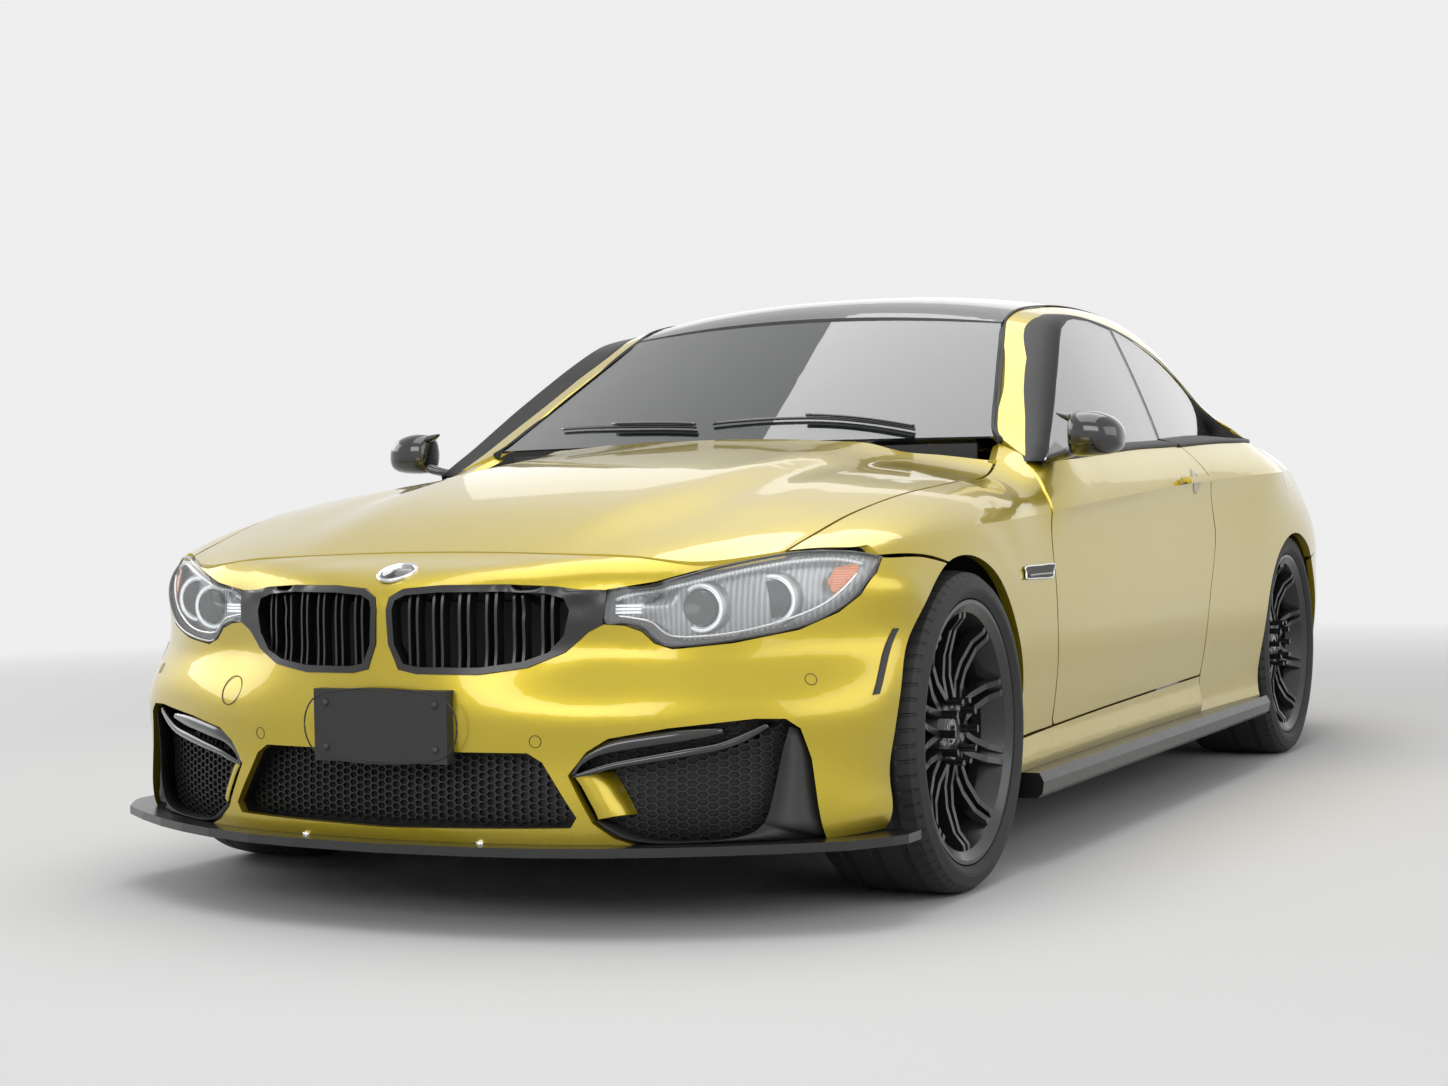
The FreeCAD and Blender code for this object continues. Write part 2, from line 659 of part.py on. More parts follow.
def make_rear_corner(extra=0.0):
    """The body behind the side window: rear pillar, quarter top and lamp corner."""
    joint = along([on_side(PILLAR_JOINT, 560), on_side(1700, 602 + GAP), on_side(1950, 636 + GAP), on_side(2100, 655 + GAP),
                   (785, 2250, 675 + GAP), (700, 2350, 690 + GAP), (598, 2390, 694 + GAP)])
    crease = along([on_side(y, swage(y)) for y in (PILLAR_JOINT, 1550, 1700, 1850, 2000, 2120)] +
                   [(732, 2250, 876), (680, 2310, 876), (598, 2350, 876)])
    lid = along([screen_line(PILLAR_JOINT)] + [screen_line(y, -GAP) for y in (1450, 1550, 1640, 1740)] +
                [(lid_side(y) + GAP, y, 975) for y in (1900, 2100, 2300)] + [(598, 2375, 970)])
    front_low = straight(joint(0), crease(0))
    front_high = along([crease(0), on_side(PILLAR_JOINT, belt(PILLAR_JOINT) - 8), (722, PILLAR_JOINT, 985), lid(0)])
    low = coons(joint, crease, front_low, straight(joint(1), crease(1)))
    high = coons(crease, lid, front_high, straight(crease(1), lid(1)))
    corner = panel("corner", [(low, 6), (high, 12)], 18, 22 + extra)
    if extra:
        return corner
    corner = corner.cut(make_rear_screen(SEAM, CLEAR)).cut(prism(lid_plan(GAP), "z", LID_FOOT, 1200))
    return corner.cut(prism(LID_SWING, "z", LID_FOOT, 1200))


def make_sill(extra=0.0):
    bottom = straight(on_side(-1046, SILL_BOTTOM), on_side(485, SILL_BOTTOM))
    upper = lambda u: on_side(lerp(-1046, 485, u), sill_line(lerp(-1046, 485, u)) - GAP)
    target = coons(bottom, upper, straight(bottom(0), upper(0)), straight(bottom(1), upper(1)))
    sill = panel("out", [(target, 4)], 6, SILL_DEPTH + extra, lower_body)
    return sill if extra else sill.cut(prism(door_outline(GAP), "x", 500, 1100))


def both(points):
    """A path from the right side across the middle to the left."""
    right = [(-x, y, z) for x, y, z in reversed(points[1:])]
    return along(right + list(points))


def make_front_bumper(extra=0.0, proud=0.0):
    foot = both([(0, -2204, 172), (200, -2191, 172), (320, -2171, 172), (450, -2130, 172), (550, -2085, 172), (650, -2030, 172),
                 (756, -1958, 172), (850, -1872, 172), (893, -1740, 172), (905, -1480, 172)])
    brow = both([(0, -2025 - GAP, 722), (200, -2023 - GAP, 718), (380, -2016 - GAP, 709), (500, -1996 - GAP, 701), (612, -1965, 693),
                 (660, -1925, 702), (707, -1880, 710),
                 (757, -1826, 711), (805, -1782, 708), (846, -1738, 701 - GAP), (875, -1628, 697 - GAP), (895, -1480, 672 - GAP)])
    target = coons(foot, brow, straight(foot(0), brow(0)), straight(foot(1), brow(1)))
    return panel("nose", [(target, 12)], 36, DEPTH + extra + proud, lambda x, y, z: lower_body(x, y, z) - proud)


def make_rear_bumper(extra=0.0):
    foot = both([(0, 2410, 235), (300, 2400, 235), (500, 2372, 235), (650, 2325, 230), (780, 2245, 215), (860, 2150, 205),
                 (895, 1950, 205), (905, 1640, 205)])
    brow = both([(0, 2440, 640), (300, 2430, 640), (500, 2405, 640), (560, 2395, 645), (598, 2390, 692 - GAP), (700, 2350, 690 - GAP),
                 (785, 2250, 675 - GAP), on_side(2100, 655 - GAP), on_side(1950, 636 - GAP), on_side(1640, 594 - GAP)])
    target = coons(foot, brow, straight(foot(0), brow(0)), straight(foot(1), brow(1)))
    bumper = panel("tail", [(target, 10)], 36, DEPTH + extra, lower_body)
    return bumper if extra else bumper.cut(prism(lid_plan(GAP), "z", LID_FOOT, 1200))


def make_lid():
    """The boot lid: its deck and the face that drops between the lamps."""
    def hinge_line(u):
        x = lerp(-1, 1, u) * 660
        return (x, 1780 - LID_HINGE_BEND * x * x, 990)

    def lip(u):
        x = lerp(-1, 1, u) * 640
        return (x, 2392 - 1.5e-4 * x * x, 985)

    def foot(u):
        x = lerp(-1, 1, u) * 640
        return (x, 2440, LID_FOOT - 8)

    deck = coons(hinge_line, lip, straight(hinge_line(0), lip(0)), straight(hinge_line(1), lip(1)))
    face = coons(lip, foot, straight(lip(0), foot(0)), straight(lip(1), foot(1)))
    lid = panel("lid", [(deck, 10), (face, 8)], 14, DEPTH)
    lid = lid.common(prism(lid_plan(-GAP), "z", 500, 1200))
    return lid.common(box((-900, 1000, LID_FOOT + 2 * GAP), (900, 2600, 1200)))


def thickened(facing, target, rows, columns, depth, form, seam, proud):
    """A panel, or with proud its own space: seam deeper and standing proud of the skin."""
    return panel(facing, [(target, rows)], columns, depth + seam + proud, lambda x, y, z: form(x, y, z) - proud)


def make_roof(seam=0.0, proud=0.0):
    def front(u):
        x = lerp(-1, 1, u) * (530 - GAP + seam)
        return (x, -134 - seam + 1.6e-4 * x * x, 1290)

    def rear(u):
        x = lerp(-1, 1, u) * (540 - GAP + seam)
        return (x, 1080 + seam - 1.5e-4 * x * x, 1290)

    def edge(s):
        return along([(s * (530 - GAP + seam), -90, 1262)] + [(s * (x - GAP + seam), y, z) for x, y, z in SCREEN_EDGE[6:10]] +
                     [(s * (540 - GAP + seam), 1036, 1262)])
    return thickened("up", coons(front, rear, edge(-1), edge(1)), 8, 8, size("roof_depth"), cabin, seam, proud)


def make_windscreen(seam=0.0, proud=0.0):
    def foot(u):
        x = lerp(-1, 1, u) * (686 + seam)
        return (x, -762 - seam + 3.6e-4 * x * x, 955)

    def head(u):
        x = lerp(-1, 1, u) * (530 - GAP + seam)
        return (x, -134 - 2 * GAP + seam + 1.6e-4 * x * x, 1288)

    def edge(s):
        return along([(s * (686 + seam), -596, 950)] + [(s * (x - GAP + seam), y, z) for x, y, z in SCREEN_EDGE[2:5]] +
                     [(s * (530 - GAP + seam), -100, 1254)])
    return thickened("screen", coons(foot, head, edge(-1), edge(1)), 8, 10, size("glass_thickness"), cabin, seam, proud)


def make_rear_screen(seam=0.0, proud=0.0):
    def head(u):
        x = lerp(-1, 1, u) * (540 - GAP + seam)
        return (x, 1080 + 2 * GAP - seam - 1.5e-4 * x * x, 1286)

    def foot(u):
        x = lerp(-1, 1, u) * (618 - GAP + seam)
        return (x, 1794 + seam - 4.2e-4 * x * x, 992)

    def edge(s):
        return along([(s * (540 - GAP + seam), 1046, 1256)] + [(s * (x - GAP + seam), y, z) for x, y, z in SCREEN_EDGE[11:14]] +
                     [(s * (618 - GAP + seam), 1634, 1020)])
    return thickened("backlight", coons(head, foot, edge(-1), edge(1)), 8, 10, size("glass_thickness"), cabin, seam, proud)


def side_glass(outline):
    """Side window glass with the outline given in (y, z), a little inside the body's frame."""
    ys = [p[0] for p in outline]
    zs = [p[1] for p in outline]

    def target(u, v):
        y = lerp(min(ys) - 20, max(ys) + 20, u)
        z = lerp(min(zs) - 20, max(zs) + 20, v)
        return (900, y, z)
    grid = panel("out", [(target, 6)], 10, size("glass_thickness"), cabin_inner)
    return grid.common(prism(outline, "x", 300, 1000))


GLASS_INSET = 4.0


def cabin_inner(x, y, z):
    """The side windows' own surface, without the roof and screens."""
    h = z - 950
    return x - (glass_belt(y) - 0.36 * h - 0.00022 * h * abs(h) - GLASS_INSET)


def rod(a, b, radius):
    return Part.makeCylinder(radius, (b - a).Length, a, b - a)


def tube(a, b, radius, bore):
    reach = (b - a).normalize()
    return rod(a, b, radius).cut(rod(a - reach, b + reach, bore))


def fused(shapes):
    whole = shapes[0]
    return whole.multiFuse(shapes[1:]) if len(shapes) > 1 else whole


def bent_bar(points, radius):
    """A round bar through points, with round corners."""
    pieces = [rod(a, b, radius) for a, b in zip(points, points[1:])]
    return fused(pieces + [Part.makeSphere(radius, p) for p in points[1:-1]])


# Hinges: each moving panel's arms end in eyes, which turn on pins that the body holds
EYE_BORE = size("hinge_pin_radius") + size("bearing_gap")
EYE_RADIUS = 12.0
EYE_HALF = 9.0
LEAF_OUT = 17.0
ARM_RADIUS = 7.0
DOOR_HINGE = (870.0, -860.0)
DOOR_HINGE_HEIGHTS = (430.0, 640.0)
BONNET_HINGE = (650.0, -722.0, 880.0)
LID_HINGE_AT = (590.0, 1608.0, 970.0)


def edge_reach(z, shift):
    """How far the skin at the door's front edge, shifted along y, lies from the hinge axis."""
    y = door_front(z) + shift
    return math.hypot(side(y, z) - DOOR_HINGE[0], y - DOOR_HINGE[1])


def eye_arm(centre, axis, path):
    """An arm from a hinge's eye through the points of path."""
    a = centre - axis * EYE_HALF
    b = centre + axis * EYE_HALF
    arm = rod(a, b, EYE_RADIUS).fuse(bent_bar([centre] + path, ARM_RADIUS))
    return arm.cut(rod(a - axis, b + axis, EYE_BORE))


# Outlines on the nose, seen from the front as (x, z), for the car's left side
LAMP = [(421, 588), (427, 649), (511, 662), (614, 692), (708, 713), (757, 717), (805, 713), (846, 701), (847, 671), (829, 631),
        (797, 599), (740, 569), (641, 548), (543, 539), (512, 550), (490, 573), (459, 585)]
GRILLE = [(11, 618), (16, 642), (43, 658), (119, 664), (239, 664), (330, 659), (375, 652), (426.5, 650), (420.5, 586), (393, 571),
          (354, 534), (291, 507), (199, 494), (73, 495), (35, 503), (15, 551)]
GRILLE_HOLE = [(24, 618), (29, 636), (50, 646), (119, 651), (239, 651), (318, 646), (352, 636), (362, 612), (352, 566), (325, 534),
               (278, 517), (199, 507), (78, 508), (46, 514), (28, 551)]
SIDE_INTAKE = [(376, 305), (410, 349), (450, 374), (553, 392), (695, 406), (743, 404), (765, 385), (779, 327), (796, 165), (510, 165),
               (456, 186), (420, 215)]
CENTRE_INTAKE = [(-300, 347), (300, 347), (328, 330), (392, 226), (380, 206), (0, 198), (-380, 206), (-392, 226), (-328, 330)]


def inset(points, amount):
    """A closed outline moved in by amount, corner by corner."""
    n = len(points)
    area = sum(points[i - 1][0] * points[i][1] - points[i][0] * points[i - 1][1] for i in range(n))
    turn = 1 if area > 0 else -1
    moved = []
    for i in range(n):
        p, q, r = points[i - 1], points[i], points[(i + 1) % n]
        a = (q[0] - p[0], q[1] - p[1])
        b = (r[0] - q[0], r[1] - q[1])
        la = math.hypot(*a)
        lb = math.hypot(*b)
        na = (-turn * a[1] / la, turn * a[0] / la)
        nb = (-turn * b[1] / lb, turn * b[0] / lb)
        k = amount / max(1 + na[0] * nb[0] + na[1] * nb[1], 0.4)
        moved.append((q[0] + (na[0] + nb[0]) * k, q[1] + (na[1] + nb[1]) * k))
    return moved


NOSE_FAR = -2700.0
NOSE_BACK = -1450.0


def nose_cutter(outline):
    one = prism(outline, "y", NOSE_FAR, NOSE_BACK)
    return [one, mirrored(one)]


def nose_panel(low, high, depth, sunk, rows=8, columns=14):
    """Part of the nose between two corners (x, z), sunk behind the skin."""
    def target(u, v):
        x = lerp(low[0], high[0], u)
        z = lerp(low[1], high[1], v)
        return (x, nose(abs(x), z) - 5, z)
    return panel("nose", [(target, rows)], columns, depth, lambda x, y, z: lower_body(x, y, z) + sunk)


LAMP_LOW = (396, 515)
LAMP_HIGH = (866, 736)
GRILLE_LOW = (-4, 480)
GRILLE_HIGH = (440, 678)

BUMPER_FOOT = 174.0
bumper = make_front_bumper()
for outline in (inset(LAMP, -GAP), inset(GRILLE, -0.5), SIDE_INTAKE):
    for cutter in nose_cutter(outline):
        bumper = bumper.cut(cutter)
bumper = bumper.cut(prism(CENTRE_INTAKE, "y", NOSE_FAR, NOSE_BACK)).cut(front_arch)
over_bumper = bonnet_space()
bumper = bumper.cut(over_bumper).cut(box((-1000, -2400, 0), (1000, -1300, BUMPER_FOOT)))
part("front_bumper", solids([bumper]))

lens = nose_panel(LAMP_LOW, LAMP_HIGH, size("lens_thickness"), 0.0).common(prism(LAMP, "y", NOSE_FAR, NOSE_BACK))
part("headlamp_lenses", solids([lens, mirrored(lens)]))

HOUSING_WALL = 5.0
HOUSING_DEPTH = 74.0
PROJECTORS = [(575, 612, 33, 30), (684, 624, 36, 46)]


def offset_prism(outline, amount):
    """A cutter through the nose with the outline moved in by amount."""
    wire = Part.makePolygon([V(place_x(x), NOSE_FAR, place_z(z)) for x, z in outline + outline[:1]])
    moved = wire.makeOffset2D(-amount, 2, False, False, False)
    return Part.Face(moved).extrude(V(0, NOSE_BACK - NOSE_FAR, 0))


LAMP_SINK = 14.0
BACK_PLATE = 14.0
wall = nose_panel(LAMP_LOW, LAMP_HIGH, HOUSING_DEPTH - BACK_PLATE - SEAM, LAMP_SINK)
wall = wall.common(offset_prism(LAMP, 3.0).cut(offset_prism(LAMP, 3.0 + HOUSING_WALL)))
back = nose_panel(LAMP_LOW, LAMP_HIGH, BACK_PLATE, LAMP_SINK + HOUSING_DEPTH - BACK_PLATE).common(offset_prism(LAMP, 3.0))
for x, z, radius, sunk in PROJECTORS:
    front_y = place_y(nose(x, z)) + sunk
    back = back.fuse(Part.makeCylinder(radius, 98 - sunk, V(place_x(x), front_y, place_z(z)), Y_AXIS))
wall = wall.cut(over_bumper)
back = back.cut(over_bumper)
part("headlamp_housings", solids([wall, back, mirrored(wall), mirrored(back)]))

frame = nose_panel(GRILLE_LOW, GRILLE_HIGH, 34, -4.0).common(prism(GRILLE, "y", NOSE_FAR, NOSE_BACK))
frame = frame.cut(prism(GRILLE_HOLE, "y", NOSE_FAR, NOSE_BACK))
slat_band = nose_panel(GRILLE_LOW, GRILLE_HIGH, 26, 8.0).common(prism(inset(GRILLE_HOLE, -2), "y", NOSE_FAR, NOSE_BACK))
SLAT_PAIRS = 6
SLAT_PITCH = 51.0
SLAT_WIDTH = 5.0
SLAT_SPACING = 17.0
slats = []
for k in range(SLAT_PAIRS):
    for shift in (0, SLAT_SPACING):
        x = 52 + k * SLAT_PITCH + shift
        slats.append(slat_band.common(box((x, NOSE_FAR, 480), (x + SLAT_WIDTH, NOSE_BACK, 680))))
grille = frame
for slat in slats:
    grille = grille.fuse(slat)
part("grilles", solids([grille, mirrored(grille)]))

bumper_spaces = [make_front_bumper(SEAM), make_front_bumper(-10, 60)]
DUCT_OVERLAP = 9.0
DUCT_WALL = 4.0
DUCT_DEPTH = 60.0
MESH_DEPTH = 8.0
above_splitter = box((-1000, -2500, BUMPER_FOOT), (1000, -1400, 500))


def make_duct(outline, low, high, rows, columns):
    """The walls behind an air intake with its mesh at their far end."""
    walls = offset_prism(outline, -DUCT_OVERLAP).cut(offset_prism(outline, DUCT_WALL - DUCT_OVERLAP))
    tunnel = nose_panel(low, high, DUCT_DEPTH, 6.0, rows, columns).common(walls)
    mesh = nose_panel(low, high, MESH_DEPTH, 6.0 + DUCT_DEPTH - MESH_DEPTH - 1, rows, columns)
    mesh = mesh.common(offset_prism(outline, DUCT_WALL - DUCT_OVERLAP + SEAM)).common(above_splitter)
    for space in bumper_spaces:
        tunnel = tunnel.cut(space)
    return [tunnel.common(above_splitter), mesh]


duct_side, mesh_side = make_duct(SIDE_INTAKE, (355, 150), (815, 425), 5, 8)
duct_middle, mesh_middle = make_duct(CENTRE_INTAKE, (-420, 180), (420, 370), 4, 8)
part("intake_mesh", solids([mesh_side, mirrored(mesh_side), mesh_middle, duct_side, mirrored(duct_side), duct_middle]))

# Splitter under the bumper
SPLITTER_LOW = 156.0
SPLITTER_HIGH = BUMPER_FOOT - SEAM
REACH = size("splitter_reach")
edge_x = [0, 200, 320, 450, 550, 650, 756, 850, 905, 921]
edge_y = curve((0, -2205), (200, -2191), (320, -2171), (450, -2130), (550, -2085), (650, -2030), (756, -1958), (850, -1885), (905, -1800), (921, -1760))
outer = [V(place_x(x), place_y(edge_y(x)) - REACH, place_z(SPLITTER_LOW)) for x in edge_x]
inner = [place(x, y, SPLITTER_LOW) for x, y in ((921, -1740), (880, -1740), (780, -1790), (600, -1930), (0, -2060))]
half = outer + inner
other = [V(-p.x, p.y, p.z) for p in reversed(half) if abs(p.x) > 1]
wire = Part.makePolygon(half + other + [half[0]])
splitter = Part.Face(wire).extrude(V(0, 0, place_z(SPLITTER_HIGH) - place_z(SPLITTER_LOW)))
part("splitter", solids([splitter]))

bonnet = make_bonnet()
x, y, z = BONNET_HINGE
notch = rod(place(x + EYE_HALF, y, z), place(x + 140, y, z), EYE_RADIUS)
bonnet = bonnet.cut(notch).cut(mirrored(notch))
arm = eye_arm(place(x, y, z), X_AXIS, [place(x, y - 68, z - 8)])
part("bonnet", solids([fused([bonnet, arm, mirrored(arm)])]))
fender = make_fender()
for z in DOOR_HINGE_HEIGHTS:
    fender = fender.cut(box((800, DOOR_HINGE[1] - 26, z - 26), (889, -795, z + 26)))
part("fender_left", solids([fender]))
part("fender_right", solids([mirrored(fender)]))

# Body sides: rail, quarter, rear corner and sill, seamed together, round the inner door frame
SKIRT_TOP = 206.0
skirt_space = box((-1000, -1300, 0), (1000, 1400, SKIRT_TOP))
quarter = make_quarter().cut(window_hole).cut(rear_arch).cut(skirt_space)
corner = make_rear_corner().cut(window_hole).cut(rear_arch)
rail = make_rail().cut(window_hole)
sill = make_sill().cut(skirt_space)
LAMP_REAR = [(560, 700), (560, 838), (700, 838), (840, 815), (900, 780), (900, 715), (700, 700)]
rear_lamp = prism(LAMP_REAR, "y", 1900, 2700)
rear_lamp_left = corner.common(rear_lamp)
corner = corner.cut(rear_lamp)
side_left = [rail, quarter, corner, sill]
part("body_side_left", solids(side_left))
part("body_side_right", solids([mirrored(s) for s in side_left]))
part("tail_lamps", solids([rear_lamp_left, mirrored(rear_lamp_left)]))
part("roof_panel", make_roof())
lid = make_lid()
x, y, z = LID_HINGE_AT
arm = eye_arm(place(x, y, z), X_AXIS, [place(x, y + 45, z - 45), place(x, y + 110, z - 35), place(x, y + 150, z + 7)])
part("boot_lid", solids([fused([lid, arm, mirrored(arm)])]))
part("windscreen", make_windscreen())
part("rear_screen", make_rear_screen())
TIP_CLEARANCE = 10.0
TIP_RADIUS = 42.0
TIPS = [(s * x, 232.0) for x in (425, 525) for s in (-1, 1)]
rear_bumper = make_rear_bumper().cut(rear_arch)
for x, z in TIPS:
    rear_bumper = rear_bumper.cut(Part.makeCylinder(TIP_RADIUS + TIP_CLEARANCE, 700, place(x, 2000, z), Y_AXIS))
part("rear_bumper", solids([rear_bumper]))

FENDER_CLEARANCE = 4.6
FENDER_TOP = 740
door = make_door()
x, y = DOOR_HINGE
for low, high in zip([270] + DOOR_STATIONS, DOOR_STATIONS):
    if high <= FENDER_TOP:
        fender_reach = max(edge_reach(z, -GAP) for z in (low, high))
        door_reach = min(edge_reach(z, GAP) for z in (low, high))
        hollow = min(fender_reach + FENDER_CLEARANCE, door_reach - 0.5)
        door = door.cut(rod(place(x, y, low), place(x, y, high), hollow))
for z in DOOR_HINGE_HEIGHTS:
    door = door.fuse(eye_arm(place(x, y, z), Z_AXIS, [place(x - 48, y + 5, z), place(x - 58, y + 88, z)]))
part("door_left", solids([door]))
part("door_right", solids([mirrored(door)]))
DIVIDER = 470.0
GLASS_EDGE = 8.0
window_top = curve(*WINDOW_TOP)


def clipped(low, high):
    """The side window's outline between two stations, seen from the side."""
    upper = [p for p in WINDOW_TOP if low < p[0] < high]
    lower = [p for p in WINDOW[len(WINDOW_TOP):] if low < p[0] < high]
    start = [(low, belt(low)), (low, window_top(low))] if low > WINDOW_TOP[0][0] else []
    end = [(high, window_top(high)), (high, belt(high))] if high < WINDOW_TOP[-1][0] else []
    return start + upper + end + lower


front_glass = inset(clipped(-700, DIVIDER), GLASS_EDGE)
rear_glass = inset(clipped(DIVIDER, 1400), SEAM)
glass_left = side_glass(front_glass)
quarter_left = side_glass(rear_glass)
part("door_glass_left", solids([glass_left]))
part("door_glass_right", solids([mirrored(glass_left)]))
part("quarter_glass", solids([quarter_left, mirrored(quarter_left)]))


# Sketched pieces: every corner is bound to the sheet
def bound(text, names):
    """The sheet's form of an expression, with the words in names put in place first."""
    def word(found):
        key = found.group()
        return "(%s)" % bound(names[key], names) if key in names else "Sizes." + key
    return re.sub(r"[a-z_]+", word, text)


def value(text, names):
    return float(sheet.evalExpression(bound(text, names).replace("Sizes.", "")))


def origin_plane(owner, role):
    return [feature for feature in owner.Origin.OriginFeatures if feature.Role == role][0]


def new_sketch(owner, name, role):
    sketch = owner.newObject("Sketcher::SketchObject", name)
    sketch.AttachmentSupport = (origin_plane(owner, role), [""])
    sketch.MapMode = "FlatFace"
    return sketch


def add_outline(sketch, corners, names):
    """Closes a ring of straight edges through corners given as two expressions each."""
    first = sketch.GeometryCount
    points = [V(value(a, names), value(b, names), 0) for a, b in corners]
    count = len(points)
    for i in range(count):
        sketch.addGeometry(Part.LineSegment(points[i], points[(i + 1) % count]), False)
    for i in range(count):
        sketch.addConstraint(Sketcher.Constraint("Coincident", first + i, 2, first + (i + 1) % count, 1))
    for i, pair in enumerate(corners):
        for text, kind, axis, amount in ((pair[0], "DistanceX", -2, points[i].x), (pair[1], "DistanceY", -1, points[i].y)):
            if text == "0":
                sketch.addConstraint(Sketcher.Constraint("PointOnObject", first + i, 1, axis))
            else:
                k = sketch.addConstraint(Sketcher.Constraint(kind, -1, 1, first + i, 1, amount))
                sketch.setExpression("Constraints[%d]" % k, bound(text, names))


def turned(owner, name, corners, names, kind="PartDesign::Revolution"):
    """A profile of (along X, radius) turned about the X axis, added or cut away."""
    sketch = new_sketch(owner, name + "_profile", "XZ_Plane")
    add_outline(sketch, corners, names)
    feature = owner.newObject(kind, name)
    feature.Profile = sketch
    feature.ReferenceAxis = (sketch, ["H_Axis"])
    feature.Angle = 360.0
    return feature


def sketched(name):
    """A new sketched piece under its name."""
    owner = doc.addObject("PartDesign::Body", name)
    owner.Label = name
    made.append(owner)
    return owner


# Wheels and tyres, each made about its own centre with its axle along X and its face towards +X
def wheel_names(end):
    return {
        "half": end + "_tyre_width / 2",
        "lip": "half - lip_set_back",
        "back": "0 - half + lip_set_back",
        "face": "lip - hub_set_back",
        "seat": "face - hub_depth",
        "flange": "rim_radius + rim_flange",
        "bowl": "rim_radius - rim_drop",
    }


def make_wheel(name, end):
    owner = sketched(name)
    names = wheel_names(end)
    turned(owner, name + "_hub", [
        ("face - 8", "0"), ("face - 8", "cap_radius - 2"), ("face", "cap_radius + 2"), ("face", "cap_radius + 12"),
        ("face - 8", "hub_radius"), ("face - 34", "hub_radius + 8"), ("seat", "hub_radius + 8"), ("seat", "hat_radius"),
        ("seat - 12", "hat_radius"), ("seat - 12", "disc_radius"), ("seat - 12 - disc_thickness", "disc_radius"),
        ("seat - 12 - disc_thickness", "axle_radius"), ("seat - axle_length", "axle_radius"), ("seat - axle_length", "0")], names)
    spokes = new_sketch(owner, name + "_spoke_sketch", "YZ_Plane")
    for sign in ("", "0 - "):
        add_outline(spokes, [
            (sign + "(spoke_spacing_hub / 2 - spoke_width / 2)", "hub_radius - 8"),
            (sign + "(spoke_spacing_hub / 2 + spoke_width / 2)", "hub_radius - 8"),
            (sign + "(spoke_spacing_rim / 2 + spoke_width / 2)", "rim_radius - 5"),
            (sign + "(spoke_spacing_rim / 2 - spoke_width / 2)", "rim_radius - 5")], names)
    spokes.setExpression("AttachmentOffset.Base.z", bound("face - 56", names))
    pad = owner.newObject("PartDesign::Pad", name + "_spoke_pair")
    pad.Profile = spokes
    pad.setExpression("Length", bound("hub_set_back + 48", names))
    pattern = owner.newObject("PartDesign::PolarPattern", name + "_spokes")
    pattern.Originals = [pad]
    pattern.Axis = (origin_plane(owner, "X_Axis"), [""])
    pattern.Angle = 360.0
    pattern.setExpression("Occurrences", bound("spoke_pairs", names))
    owner.Tip = pattern
    turned(owner, name + "_dish", [
        ("face - 2", "hub_radius + 4"), ("face - 10", "0.45 * rim_radius"), ("face - 8", "0.62 * rim_radius"),
        ("face + 6", "0.82 * rim_radius"), ("lip - 14", "bowl - 4"), ("lip - 12", "rim_radius"), ("lip + 40", "rim_radius"),
        ("lip + 40", "hub_radius + 4")], names, "PartDesign::Groove")
    turned(owner, name + "_spoke_back", [
        ("face - 44", "hub_radius + 10"), ("face - 38", "0.45 * rim_radius"), ("face - 30", "0.7 * rim_radius"),
        ("lip - 44", "bowl - 4"), ("lip - 44", "rim_radius"), ("face - 90", "rim_radius"),
        ("face - 90", "disc_radius + 6"), ("face - 57", "disc_radius + 6"), ("face - 57", "hub_radius + 10")], names, "PartDesign::Groove")
    turned(owner, name + "_barrel", [
        ("lip", "flange - 1"), ("lip", "flange - 9"), ("lip - 12", "rim_radius - rim_wall"), ("lip - 60", "bowl - rim_wall"),
        ("back + 30", "bowl - rim_wall"), ("back + 12", "rim_radius - rim_wall"), ("back", "flange - 8"), ("back", "flange"),
        ("back + 7", "flange"), ("back + 16", "rim_radius"), ("back + 46", "rim_radius"), ("back + 58", "bowl"),
        ("lip - 64", "bowl"), ("lip - 46", "rim_radius"), ("lip - 16", "rim_radius"), ("lip - 7", "flange")], names)
    return owner


def make_tyre(name, end):
    owner = sketched(name)
    names = wheel_names(end)
    names["tread"] = end + "_tyre_radius"
    near = [("lip - 17.5", "rim_radius + bead_gap"), ("lip - 8.5", "flange + 1"), ("lip + 1", "flange + 3"), ("half - 1", "flange + 16"),
            ("half", "tread - 36"), ("half - 6", "tread - 16"), ("half - 20", "tread - 4"), ("half - 48", "tread")]
    far = [("0 - (%s)" % a, b) for a, b in reversed(near)]
    turned(owner, name + "_section", near + far, names)
    return owner


def wheel_centre(end):
    names = wheel_names(end)
    x = size("body_width") / 2 - size(end + "_wheel_inset") - value("half", names)
    y = place_y(-AXLE if end == "front" else AXLE)
    return V(x, y, size(end + "_tyre_radius"))


WHEELS = {}
for end in ("front", "rear"):
    centre = wheel_centre(end)
    WHEELS[end] = (centre, value("seat", wheel_names(end)))
    for hand, sign, turn in (("left", 1, 0), ("right", -1, 180)):
        at = FreeCAD.Placement(V(sign * centre.x, centre.y, centre.z), FreeCAD.Rotation(Z_AXIS, turn))
        make_wheel("wheel_%s_%s" % (end, hand), end).Placement = at
        make_tyre("tyre_%s_%s" % (end, hand), end).Placement = at
doc.recompute()


# Front uprights, each turning on a leaning steering axis with its strut and brake caliper
AXLE_RADIUS = size("axle_radius")
BORE = AXLE_RADIUS + size("bearing_gap")
PIN = size("pin_radius")
RUN = size("running_gap")
STEER_LOW = place(715, -AXLE, 190)
STEER_HIGH = place(570, -AXLE, 800)
STEER_AXIS = STEER_HIGH - STEER_LOW


def on_steer(z):
    """The point of the steering axis at a height."""
    return STEER_LOW + STEER_AXIS * ((z - STEER_LOW.z) / STEER_AXIS.z)


